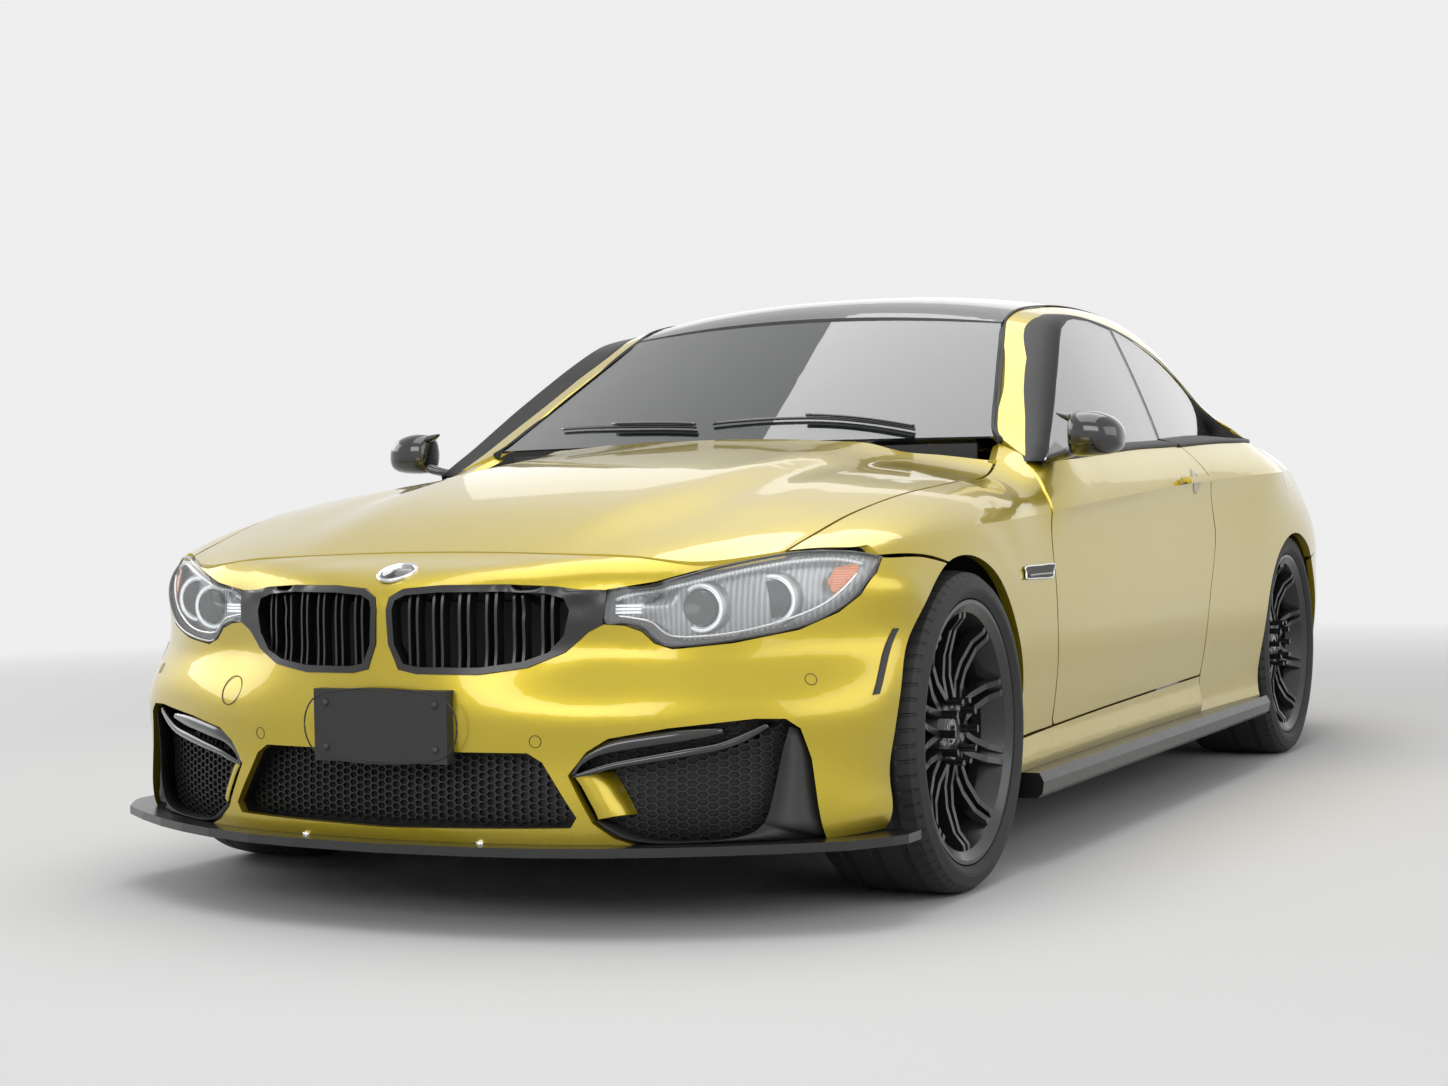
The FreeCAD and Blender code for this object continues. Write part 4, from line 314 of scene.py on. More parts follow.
def carbon_material():
    """A two over two twill: crosswise and lengthwise bundles pass over each other in turn."""
    carbon = Material("carbon", metallic=0.0, coat_weight=1.0, coat_roughness=0.02)
    across = carbon.place.part("X") / BUNDLE
    along = carbon.place.part("Y") / BUNDLE
    step = (across + along).maths("MODULO", 4.0).maths("ABSOLUTE")
    warp = step.maths("GREATER_THAN", 2.0)
    lobe = (across * math.pi).maths("SINE") * warp + (along * math.pi).maths("SINE") * (1.0 - warp)
    shade = (lobe * 0.5 + 0.5).clamped()
    carbon.set(base_color=shade.blend(grey(0.004), grey(0.022)), roughness=shade * 0.25 + 0.25)
    return carbon.data


PAINT = paint_material()
GLOSS_BLACK = gloss_black_material()
CARBON = carbon_material()
SATIN_BLACK = satin_black_material()
print("flakes are about", round(1000 / FLAKE_SCALE, 2), "mm apart")

# %% [markdown]
# ## Plastic, glass and rubber
# Bare plastic is moulded with a fine grain, which a bump shows without a single extra face. The windows
# are darkly tinted, and a little of the cabin shows through. Light could be bent at each pane as it really
# is, but a pane with an alpha is quicker and free of noise. Rubber is dull, and dust lightens it.

# %% Plastic, glass and rubber


def grained_plastic(name, level, scale=900.0):
    """Moulded plastic with a fine grain and patches of wear."""
    plastic = Material(name, base_color=grey(level), roughness=0.55)
    grain = plastic.place.cells(scale)
    wear = plastic.place.noise(14.0)
    plastic.set(roughness=wear * 0.18 + 0.42, normal=grain.bump(0.25, 0.0004))
    plastic.set(base_color=wear.blend(grey(level * 0.8), grey(level * 1.35)))
    return plastic.data


def glass_material(name, colour, alpha):
    """A tinted pane; alpha is how much of what lies behind it the tint hides."""
    glass = Material(name, base_color=colour, coat_weight=1.0, coat_roughness=0.0, alpha=alpha, ior=1.5)
    film = glass.place.noise(6.0, 2.0)
    glass.set(roughness=film * 0.02 + 0.004)
    return glass.data


def rubber_material():
    """Plain rubber for the slot; the tyres get their tread farther down."""
    rubber = Material("tyre_rubber", base_color=grey(0.018), roughness=0.7)
    dust = rubber.place.noise(38.0, 4.0)
    rubber.set(base_color=dust.blend(grey(0.012), grey(0.028)), roughness=dust * 0.2 + 0.58)
    return rubber.data


PLASTIC = grained_plastic("black_plastic", 0.018)
WHEEL_BLACK = Material("wheel_black", base_color=grey(0.010), roughness=0.33, coat_weight=0.4,
                       coat_roughness=0.15).data
WINDOW = glass_material("window_glass", (0.010, 0.014, 0.015, 1), 0.80)
LENS = glass_material("lamp_lens", (0.9, 0.93, 0.95, 1), 0.12)
RUBBER = rubber_material()
print("materials so far:", len(bpy.data.materials))

# %% [markdown]
# ## Metal, leather and red lamp plastic
# One function makes every metal, as they differ only in tone, gloss and the scale of their grain. Leather
# has small pebbles crossed by creases. The tail lamps' red cover has fine upright ribs on its inner side,
# which here are bands of two reds.

# %% Metal, leather and red plastic
RIB_SCALE = 420.0


def metal_material(name, level, roughness, metallic=1.0, scale=120.0):
    """Metal with cloudy grain in its tone, its gloss and its height."""
    metal = Material(name, base_color=grey(level), metallic=metallic, roughness=roughness)
    grain = metal.place.noise(scale, 4.0)
    metal.set(base_color=grain.blend(grey(level * 0.75), grey(level * 1.15)),
              roughness=grain * 0.2 + roughness - 0.1, normal=grain.bump(0.1, 0.0006))
    return metal.data


def leather_material():
    """Black leather, pebbled and creased."""
    leather = Material("leather", base_color=grey(0.02), roughness=0.5)
    pebble = leather.place.cells(420.0)
    crease = leather.place.noise(60.0, 3.0)
    leather.set(normal=(pebble + crease * 0.4).bump(0.35, 0.0008), roughness=crease * 0.2 + 0.4,
                base_color=crease.blend(grey(0.012), grey(0.030)))
    return leather.data


def lamp_red_material():
    """Red plastic with fine upright ribs."""
    red = Material("lamp_red", roughness=0.08, coat_weight=1.0, coat_roughness=0.01)
    rib = (red.place.part("X") * RIB_SCALE).maths("SINE")
    red.set(base_color=(rib * 0.5 + 0.5).clamped().blend((0.16, 0.003, 0.004, 1), (0.42, 0.012, 0.012, 1)))
    return red.data


STEEL = metal_material("dipped_steel", 0.06, 0.5, 0.6)
CAST = metal_material("cast_metal", 0.22, 0.5, 0.9)
BRUSHED = metal_material("brushed_steel", 0.6, 0.28)
LEATHER = leather_material()
LAMP_RED = lamp_red_material()
print("materials so far:", len(bpy.data.materials))

# %% [markdown]
# ## Floor finish
# A studio's sweep curves up behind the car. A flat floor can pass for one: near the car it takes light and
# shadow, and from a few metres off it turns by degrees into the backdrop's own even tone. Only the camera,
# reflections and clear glass see that tone, so the far floor doesn't glow onto the car.

# %% Floor finish
FADE_START = 3.5
FADE_WIDTH = 5.0
FLOOR_TONE = 0.66


def floor_material():
    """A pale floor that keeps the car's shadow and, seen far off, runs into the backdrop's own tone."""
    floor = Material("studio_floor", emission_strength=1.0, specular_ior_level=0.0)
    across = floor.place.part("X")
    along = floor.place.part("Y")
    distance = (across * across + along * along).maths("SQRT")
    seen = floor.input_node("ShaderNodeLightPath", "Is Camera Ray")
    for ray in ("Is Glossy Ray", "Is Transmission Ray"):
        seen = seen + floor.input_node("ShaderNodeLightPath", ray)
    far = distance.above(FADE_START, FADE_WIDTH) * seen.clamped()
    floor.set(base_color=far.blend(grey(FLOOR_TONE), grey(0.0)),
              emission_color=far.blend(grey(0.0), grey(BACKDROP_TONE)),
              roughness=floor.place.noise(0.6, 2.0) * 0.1 + 0.45)
    return floor.data


studio_floor.data.materials.append(floor_material())
print("floor fades over", FADE_WIDTH, "m")

# %% [markdown]
# ## Dressing the nodes
# Each node names the slot that its material belongs to, and a table turns slots into finishes. Giving them
# by hand, node by node, would be longer and go wrong sooner. The roof differs from its slot, and so do a few
# nodes that get a closer finish farther down.

# %% Dressing
SLOT_FINISH = {
    "paint": PAINT, "gloss_black": GLOSS_BLACK, "black_plastic": PLASTIC, "lamp_clear": LENS,
    "lamp_red": LAMP_RED, "window_glass": WINDOW, "wheel_paint": WHEEL_BLACK, "tyre_rubber": RUBBER,
    "cast_metal": CAST, "steel": STEEL, "exhaust_steel": BRUSHED, "seat_leather": LEATHER,
}


def dress(node, material):
    """Gives a CAD node its finish."""
    mesh = nodes[node].data
    mesh.materials.clear()
    mesh.materials.append(material)


for entry in frame["record"]["subparts"]:
    dress(entry["node"], SLOT_FINISH[entry["material_slot"]])
dress("roof_panel", CARBON)
print("slots with a finish:", len(SLOT_FINISH))

# %% [markdown]
# ## Laying pieces on the skin
# Lamps, blades and trims follow the body's skin. A modifier can shrink a piece onto a surface, but it
# hides what it did. Here a ray is sent at a node, and the point that it meets carries the piece, so
# nothing floats. Outlines are in millimetres, seen from the front as (x, z) or from the side as (y, z),
# with y counted from the middle of the wheelbase.

# %% Skin helpers
WHEELBASE_MIDDLE = -0.108


def turns(count):
    """Angles spaced evenly round a circle."""
    return [2 * math.pi * k / count for k in range(count)]


def skin_of(*names):
    """The surface of some CAD nodes, to be met by rays."""
    vertices = []
    faces = []
    for name in names:
        mesh = nodes[name].data
        base = len(vertices)
        vertices += [v.co.copy() for v in mesh.vertices]
        faces += [[base + i for i in p.vertices] for p in mesh.polygons]
    return BVHTree.FromPolygons(vertices, faces)


class Skin:
    """A surface seen along one axis, which gives the point met at a place."""

    def __init__(self, tree, start, way):
        self.tree = tree
        self.start = start
        self.way = Vector(way)

    def meet(self, a, b):
        """The point and the normal met at (a, b)."""
        hit, normal, index, distance = self.tree.ray_cast(self.start(a, b), self.way)
        return (hit, normal) if hit else (None, None)

    def near(self, a, b, reach=0.03):
        """The point met at (a, b), or else one met a little way around."""
        hit, normal = self.meet(a, b)
        ring = 0.002
        while hit is None and ring < reach:
            for turn in turns(16):
                hit, normal = self.meet(a + ring * math.cos(turn), b + ring * math.sin(turn))
                if hit:
                    break
            ring += 0.003
        return hit, normal


def from_front(tree):
    """The skin met at (x, z) from ahead of the car."""
    return Skin(tree, lambda x, z: Vector((x, -3.0, z)), (0, 1, 0))


def from_left(tree):
    """The skin met at (y, z) from the car's left."""
    return Skin(tree, lambda y, z: Vector((2.0, y, z)), (-1, 0, 0))


def from_rear(tree):
    """The skin met at (x, z) from behind the car."""
    return Skin(tree, lambda x, z: Vector((x, 3.5, z)), (0, -1, 0))


def from_above(tree):
    """The skin met at (x, y) from over the car."""
    return Skin(tree, lambda x, y: Vector((x, y, 3.0)), (0, 0, -1))


print("the body's skin has", len(nodes["body_side_left"].data.polygons), "faces on its left side")

# %% [markdown]
# ## Pieces and what rounds them
# A piece is a mesh that rides on one of the frame's bodies, so it moves with the door or wheel that it
# sits on. Most pieces come in mirrored pairs. Thickness, rounded edges and smoothing are added as
# modifiers, which keeps the points below few and easy to change.

# %% Pieces


def add_piece(name, vertices, faces, material, body="body", smooth=True):
    """A mesh piece in the frame's own axes, riding on a body."""
    mesh = bpy.data.meshes.new(name)
    mesh.from_pydata([tuple(v) for v in vertices], [], faces)
    mesh.materials.append(material)
    if smooth:
        mesh.shade_smooth()
    mesh.update()
    piece = collect(bpy.data.objects.new(name, mesh))
    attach(piece, body)
    return piece


def add_pair(name, shape, material, body="body", smooth=True):
    """A piece on the car's left side and its mirror image on the right."""
    vertices, faces = shape
    mirrored = [(-v[0], v[1], v[2]) for v in vertices]
    flipped = [tuple(reversed(f)) for f in faces]
    left = add_piece(name + "_left", vertices, faces, material, body, smooth)
    right = add_piece(name + "_right", mirrored, flipped, material, body.replace("left", "right"), smooth)
    return [left, right]


def add_middle(name, shape, material, body="body", smooth=True):
    """A single piece, in a list as soften takes it."""
    return [add_piece(name, shape[0], shape[1], material, body, smooth)]


def joined(shapes):
    """Several (vertices, faces) shapes as one."""
    vertices = []
    faces = []
    for some, sides in shapes:
        base = len(vertices)
        vertices += list(some)
        faces += [tuple(base + i for i in f) for f in sides]
    return vertices, faces


def soften(pieces, bevel=0.0, subdivide=0, solid=0.0, offset=-1.0):
    """Thickness, then rounded edges, then a smooth surface, as modifiers."""
    for piece in pieces:
        if solid:
            thick = piece.modifiers.new("thickness", "SOLIDIFY")
            thick.thickness = solid
            thick.offset = offset
        if bevel:
            edge = piece.modifiers.new("edge", "BEVEL")
            edge.width = bevel
            edge.segments = 2
            edge.limit_method = "ANGLE"
        if subdivide:
            round_off = piece.modifiers.new("smooth", "SUBSURF")
            round_off.levels = subdivide
            round_off.render_levels = subdivide
    return pieces


print("a piece rides on", repr(add_piece.__defaults__[0]), "unless told otherwise")

# %% [markdown]
# ## Lofts, tubes and turned forms
# Most trims are long and thin with a changing section. A curve with a bevel makes such a form in the
# editor. By formula the same form is a loft, that is quads between rows of points. A tube is a loft round
# a line, and a turned form is one round an axis, as on a lathe.

# %% Lofts


def strip_faces(rows, columns, closed=False):
    """Quads between rows of points, each row with the same number of columns."""
    faces = []
    for r in range(rows - 1):
        for c in range(columns if closed else columns - 1):
            d = (c + 1) % columns
            faces.append((r * columns + c, r * columns + d, (r + 1) * columns + d, (r + 1) * columns + c))
    return faces


def loft(rows, closed=False):
    """A surface through rows of points."""
    return [p for row in rows for p in row], strip_faces(len(rows), len(rows[0]), closed)


def rounded_line(points, count, closed=False):
    """A smooth line of count points through the given ones (Catmull-Rom)."""
    points = [Vector(p) for p in points]
    n = len(points)
    spans = n if closed else n - 1
    line = []
    for k in range(count):
        t = k * spans / (count if closed else count - 1)
        i = min(int(t), spans - 1)
        t -= i
        if closed:
            p = [points[(i + j - 1) % n] for j in range(4)]
        else:
            p = [points[max(0, min(n - 1, i + j - 1))] for j in range(4)]
        line.append(0.5 * (2 * p[1] + (p[2] - p[0]) * t + (2 * p[0] - 5 * p[1] + 4 * p[2] - p[3]) * t * t
                           + (3 * p[1] - p[0] - 3 * p[2] + p[3]) * t ** 3))
    return line


def tube_along(points, radius, sides=8, closed=False, flat=1.0):
    """A tube along points; flat squeezes it along z."""
    points = [Vector(p) for p in points]
    n = len(points)
    rows = []
    for i in range(n):
        ahead = points[(i + 1) % n] if closed or i < n - 1 else points[i]
        behind = points[i - 1] if closed or i > 0 else points[i]
        way = (ahead - behind).normalized()
        side = way.cross(Vector((0, 0, 1)))
        if side.length < 0.05:
            side = way.cross(Vector((0, 1, 0)))
        side.normalize()
        other = side.cross(way).normalized()
        rows.append([points[i] + radius * (math.cos(a) * side + flat * math.sin(a) * other)
                     for a in turns(sides)])
    if closed:
        rows.append(rows[0])
    vertices, faces = loft(rows, closed=True)
    if not closed:
        faces.append(tuple(reversed(range(sides))))
        faces.append(tuple(range((n - 1) * sides, n * sides)))
    return vertices, faces


def turned(profile, centre, axis, steps=48):
    """A ring turned about an axis: profile is (radius, distance along the axis)."""
    axis = Vector(axis).normalized()
    side = axis.orthogonal().normalized()
    other = axis.cross(side)
    centre = Vector(centre)
    rows = []
    for radius, along in profile:
        rows.append([centre + axis * along + radius * (math.cos(a) * side + math.sin(a) * other)
                     for a in turns(steps)])
    return loft(rows, closed=True)


def millimetres(points):
    """Flat points given in millimetres, in metres."""
    return [(a / 1000, b / 1000) for a, b in points]


def draped(outline, step, skin, sunk):
    """An outline (x, z) cut into small faces and laid behind the skin by sunk(x, z)."""
    mesh = bmesh.new()
    mesh.faces.new([mesh.verts.new((x, 0, z)) for x, z in outline])
    low_x = min(x for x, z in outline)
    high_x = max(x for x, z in outline)
    low_z = min(z for x, z in outline)
    high_z = max(z for x, z in outline)
    for axis, start, end in (((1, 0, 0), low_x, high_x), ((0, 0, 1), low_z, high_z)):
        at = start + step
        while at < end:
            everything = mesh.verts[:] + mesh.edges[:] + mesh.faces[:]
            bmesh.ops.bisect_plane(mesh, geom=everything, plane_co=Vector(axis) * at, plane_no=axis)
            at += step
    vertices = []
    for v in mesh.verts:
        hit, normal = skin.near(v.co.x, v.co.z)
        y = hit.y if hit else 0.0
        vertices.append((v.co.x, y + sunk(v.co.x, v.co.z), v.co.z))
    mesh.verts.index_update()
    faces = [tuple(v.index for v in f.verts) for f in mesh.faces]
    mesh.free()
    return vertices, faces


sample_ring = turned([(1, 0), (1, 1)], (0, 0, 0), (0, 0, 1))
print("faces in a plain turned ring:", len(sample_ring[1]))

# %% [markdown]
# ## Headlamps
# A real lamp is a clear cover over a trim with two bright cans in it. Their reflectors are fluted to
# spread the light. Cutting the flutes would take thousands of faces, so a wave drives the colour, the
# gloss and a bump. What is lit from within glows a little by itself.

# %% Headlamp finishes
CHROME = metal_material("lamp_chrome", 0.82, 0.16, 1.0, 30.0)
SILVER_TRIM = metal_material("lamp_silver", 0.50, 0.34, 0.75, 60.0)


def fluted(name, dark, light, pitch, axis="X"):
    """A bright reflector with fine flutes."""
    finish = Material(name, roughness=0.2, metallic=0.35, coat_weight=0.6, coat_roughness=0.05)
    wave = (finish.place.part(axis) * (2 * math.pi / pitch)).maths("SINE") * 0.5 + 0.5
    finish.set(base_color=wave.blend(dark, light), roughness=wave * 0.15 + 0.15,
               normal=wave.bump(0.4, 0.001))
    return finish.data


def glowing(name, colour, strength, base):
    """Light plastic that is lit from within."""
    finish = Material(name, base_color=base, roughness=0.25, emission_strength=strength)
    haze = finish.place.noise(60.0, 1.0)
    finish.set(emission_color=haze.blend(tuple(0.85 * c for c in colour[:3]) + (1,), colour))
    return finish.data


LIGHT_RING = glowing("light_ring", (0.93, 0.97, 1.0, 1), 0.55, (0.8, 0.84, 0.88, 1))
WHITE_BAR = fluted("white_bar", (0.62, 0.65, 0.68, 1), (0.80, 0.83, 0.85, 1), 0.006)
REFLECTOR = fluted("fluted_reflector", (0.26, 0.28, 0.30, 1), (0.52, 0.54, 0.56, 1), 0.009)
AMBER = fluted("amber_reflector", (0.55, 0.12, 0.02, 1), (0.85, 0.28, 0.06, 1), 0.005, "Z")
DARK_LENS = Material("projector_glass", base_color=(0.03, 0.045, 0.06, 1), roughness=0.03, metallic=0.3,
                     coat_weight=1.0, coat_roughness=0.0).data
BLACK_TRIM = gloss_black_material()
print("materials so far:", len(bpy.data.materials))

# %% [markdown]
# Each can is turned from a profile, with a dome of thick glass inside and a light ring round it. The plate
# behind them is draped at an even distance from the cover, so it bends with the nose.

# %% Headlamp cans
REFLECTOR_DEPTH = 0.052
RING_OUTWARD = 0.0092
RING_RADIUS = 0.0028
LAMP_EDGE = millimetres([(423, 590), (429, 646), (511, 659), (614, 689), (708, 710), (757, 713),
                         (803, 710), (842, 699), (843, 672), (826, 633), (795, 602), (739, 572),
                         (641, 551), (544, 542), (513, 553), (491, 576), (459, 588)])
LAMP_INNER = millimetres([(429, 596), (434, 640), (512, 652), (616, 681), (709, 702), (757, 706),
                          (800, 702), (833, 694), (835, 672), (819, 638), (791, 608), (737, 579),
                          (640, 558), (546, 549), (518, 559), (495, 582), (461, 594)])
LAMP_CANS = [((0.575, 0.612), 0.034, 0.034), ((0.684, 0.624), 0.036, 0.050)]
cover = from_front(skin_of("headlamp_lenses"))


def lamp_point(x, z, sunk):
    """A point at a depth behind the lamp's cover."""
    hit, normal = cover.near(x, z)
    return Vector((x, hit.y + sunk, z))


def light_can(centre, glass, depth):
    """Where one can stands, and the profiles of its silver tube and its inner cone."""
    x, z = centre
    y = lamp_point(x, z, depth).y
    tube = [(glass + 0.017, 0.030), (glass + 0.016, 0.004), (glass + 0.014, 0.0), (glass + 0.0125, 0.0),
            (glass + 0.0115, 0.003), (glass + 0.011, 0.012)]
    cone = [(glass + 0.006, 0.004), (glass + 0.0045, 0.001), (glass + 0.002, 0.003), (glass, 0.012)]
    return (x, y, z), tube, cone


plate = draped(LAMP_INNER, 0.008, cover, lambda x, z: REFLECTOR_DEPTH)
soften(add_pair("headlamp_reflector", plate, REFLECTOR), solid=0.002)
for number, (centre, glass, depth) in enumerate(LAMP_CANS, 1):
    at, tube, cone = light_can(centre, glass, depth)
    add_pair(f"headlamp_can_{number}", turned(tube, at, (0, 1, 0)), SILVER_TRIM)
    add_pair(f"headlamp_cone_{number}", turned(cone, at, (0, 1, 0)), CHROME)
    ring = [(glass + RING_OUTWARD + RING_RADIUS * math.cos(a), 0.002 - RING_RADIUS * math.sin(a))
            for a in turns(10) + [2 * math.pi]]
    add_pair(f"headlamp_ring_{number}", turned(ring, at, (0, 1, 0)), LIGHT_RING)
    dome = [(glass * math.cos(a), 0.012 - 0.016 * math.sin(a)) for a in turns(32)[:9]]
    dome[-1] = (0.0002, dome[-1][1])
    add_pair(f"headlamp_dome_{number}", turned(dome, at, (0, 1, 0)), DARK_LENS)
print("cans in each headlamp:", len(LAMP_CANS))

# %% [markdown]
# Round the cans run a white bar along the top, a bright line along the lower edge, a small block of light
# at the inner end, an amber plate at the outer one and a gasket at the rim. Each is a tube or a plate at
# its own depth behind the cover.

# %% Headlamp lines
TOP_BAR = [(434, 631), (462, 640), (520, 650), (583, 665), (644, 680), (708, 693), (757, 698), (795, 695),
           (822, 686)]
LOWER_LINE = [(440, 600), (468, 596), (500, 588), (522, 568), (546, 559), (603, 560), (660, 569), (717, 586),
              (768, 610), (800, 640), (820, 672)]
AMBER_EDGE = [(786, 630), (805, 650), (820, 676), (818, 688), (786, 684), (776, 655)]


def lamp_line(points, sunk, count):
    """A smooth line in the lamp at a depth behind its cover."""
    line = rounded_line([(x, 0, z) for x, z in millimetres(points)], count)
    return [lamp_point(p.x, p.z, sunk) for p in line]


top_bar = tube_along(lamp_line(TOP_BAR, 0.020, 30), 0.0055, 10, flat=0.8)
add_pair("headlamp_top_bar", top_bar, WHITE_BAR)
lower_line = tube_along(lamp_line(LOWER_LINE, 0.014, 36), 0.0026, 8)
add_pair("headlamp_lower_line", lower_line, CHROME)
amber_plate = draped(millimetres(AMBER_EDGE), 0.008, cover, lambda x, z: 0.017)
soften(add_pair("headlamp_amber", amber_plate, AMBER), solid=0.003)
block = []
for k in range(3):
    z = 0.6065 + 0.0065 * k
    row = [lamp_point(0.436 + 0.048 * s, z, 0.014) for s in (0, 0.25, 0.5, 0.75, 1)]
    block.append(tube_along(row, 0.0026, 6))
add_pair("headlamp_light_block", joined(block), LIGHT_RING)
gasket = rounded_line([(x, 0, z) for x, z in LAMP_EDGE], 90, closed=True)
gasket = tube_along([lamp_point(p.x, p.z, 0.0015) for p in gasket], 0.003, 6, closed=True)
add_pair("headlamp_gasket", gasket, BLACK_TRIM)

# %% [markdown]
# ## Air intakes
# Behind each opening in a real bumper sits a moulded honeycomb. Holes could be cut from a plate, but every
# cut costs many faces. Here every cell is a six-sided ring of quads that a modifier thickens afterwards,
# which is far lighter and looks the same. The mesh lies at an even distance behind the bumper's skin.

# %% Honeycomb
SIDE_OPENING = millimetres([(384, 303), (414, 342), (452, 366), (553, 384), (695, 398), (741, 397),
                            (759, 380), (772, 325), (786, 176), (512, 176), (460, 194), (428, 220)])
MIDDLE_OPENING = millimetres([(-296, 340), (296, 340), (321, 325), (384, 227), (374, 213), (0, 205),
                              (-374, 213), (-384, 227), (-321, 325)])
MESH_BEHIND_SKIN = 0.057
CELL_WIDTH = 0.023
CELL_HEIGHT_SHARE = 0.62
CELL_DEPTH = 0.007
HONEYCOMB_BEHIND = 0.046
intake_floor = from_front(skin_of("intake_mesh"))


def inside(point, outline):
    """Whether a flat point lies within a closed outline."""
    x, z = point
    odd = False
    for (x1, z1), (x2, z2) in zip(outline, outline[1:] + outline[:1]):
        if (z1 > z) != (z2 > z) and x < x1 + (z - z1) / (z2 - z1) * (x2 - x1):
            odd = not odd
    return odd


def intake_point(x, z, behind):
    """A point at a distance behind the bumper's skin, also where the skin is open."""
    hit, normal = intake_floor.near(x, z)
    return Vector((x, hit.y - MESH_BEHIND_SKIN + behind, z))


def cell_ring(x, z, height, wall):
    """The outer and the inner hexagon of one cell, and the quads between them."""
    vertices = []
    for share in (1.0, wall):
        for k in range(6):
            turn = math.pi / 3 * k
            px = x + share * CELL_WIDTH / 2 * math.cos(turn)
            pz = z + share * height / 2 / math.cos(math.pi / 6) * math.sin(turn)
            vertices.append(intake_point(px, pz, HONEYCOMB_BEHIND))
    faces = [(k, (k + 1) % 6, 6 + (k + 1) % 6, 6 + k) for k in range(6)]
    return vertices, faces


def honeycomb(outline, wall=0.82):
    """Cells on a staggered grid, kept where their middle is inside the outline."""
    low_x, high_x = min(x for x, z in outline), max(x for x, z in outline)
    low_z, high_z = min(z for x, z in outline), max(z for x, z in outline)
    height = CELL_WIDTH * CELL_HEIGHT_SHARE
    cells = []
    row = 0
    z = low_z
    while z < high_z:
        x = low_x + (CELL_WIDTH * 0.75 if row % 2 else 0.0)
        while x < high_x:
            if inside((x, z), outline):
                cells.append(cell_ring(x, z, height, wall))
            x += CELL_WIDTH * 1.5
        z += height / 2
        row += 1
    return joined(cells)


MESH_BLACK = grained_plastic("mesh_black", 0.008, 500.0)
side_comb = add_pair("intake_honeycomb", honeycomb(SIDE_OPENING), MESH_BLACK, smooth=False)
centre_comb = add_middle("centre_honeycomb", honeycomb(MIDDLE_OPENING), MESH_BLACK, smooth=False)
soften(side_comb + centre_comb, solid=CELL_DEPTH)
dress("intake_mesh", MESH_BLACK)
print("honeycomb cells in the middle:", len(centre_comb[0].data.polygons) // 6)

# %% [markdown]
# ## Blades in the side intakes
# Two black blades, a tray and a short painted wall guide the air. Each is a thin moulding that bends along
# the opening's edge, so it is lofted between given lines, every row a little farther behind the skin.

# %% Blades and trays
MOULDING = 0.002
BLADE_TOP = [(381, 306), (399, 336), (430, 358), (461, 372), (515, 380), (574, 387), (640, 388)]
BLADE_EDGE = [(385, 306), (402, 328), (434, 345), (477, 353), (533, 362), (587, 370), (642, 382)]
SECOND_TOP = [(384, 304), (420, 316), (457, 327), (521, 339), (576, 349), (630, 358), (665, 371),
              (693, 385), (711, 395)]
SECOND_EDGE = [(384, 302), (420, 309), (457, 319), (521, 329), (576, 338), (629, 348), (667, 361),
               (697, 379), (714, 391)]
TRAY_LIP = [(428, 220), (475, 190), (507, 180), (540, 177), (583, 177), (619, 178), (655, 182), (683, 190),
            (703, 206), (714, 230), (721, 262), (727, 298), (736, 346), (747, 388)]
TRAY_OUTER = [(424, 218), (455, 189), (505, 176), (540, 175), (583, 175), (625, 175), (680, 175), (740, 175),
              (787, 177), (785, 215), (781, 250), (776, 290), (769, 335), (757, 384)]
INNER_WALL = [(387, 303), (400, 285), (412, 262), (424, 238), (430, 222)]


def intake_line(points, behind, count=28):
    line = rounded_line([(x, 0, z) for x, z in millimetres(points)], count)
    return [intake_point(p.x, p.z, behind) for p in line]


def moved(points, across, up):
    return [(x + across, z + up) for x, z in points]


INTAKE_TRIMS = [
    ("intake_upper_blade", BLACK_TRIM,
     [(BLADE_TOP, 0.010), (BLADE_TOP, 0.004),
      (BLADE_EDGE, 0.002), (BLADE_EDGE, 0.006), (BLADE_EDGE, 0.038)]),
    ("intake_lower_blade", BLACK_TRIM,
     [(SECOND_TOP, 0.045), (SECOND_TOP, 0.008), (SECOND_TOP, 0.003),
      (SECOND_EDGE, 0.003), (SECOND_EDGE, 0.009), (SECOND_EDGE, 0.045)]),
    ("intake_tray", PLASTIC,
     [(TRAY_OUTER, 0.010), (TRAY_OUTER, 0.006), (TRAY_LIP, -0.001), (TRAY_LIP, 0.002), (TRAY_LIP, 0.040)]),
    ("intake_inner_wall", PAINT,
     [(INNER_WALL, 0.004), (moved(INNER_WALL, 22, 4), 0.016), (moved(INNER_WALL, 52, 6), 0.043)]),
]
for name, finish, trim_rows in INTAKE_TRIMS:
    shape = loft([intake_line(points, behind) for points, behind in trim_rows])
    soften(add_pair(name, shape, finish), solid=MOULDING)

# %% [markdown]
# ## Nose fittings
# The round plain disc is turned on the skin's own normal. Parking sensors and the tow cover are hardly
# more than a hairline on a real bumper, so each is a thin ring on the skin, which costs less than cutting
# it. Two short stays hold the splitter, and four bolts hold the bracket for the plate.

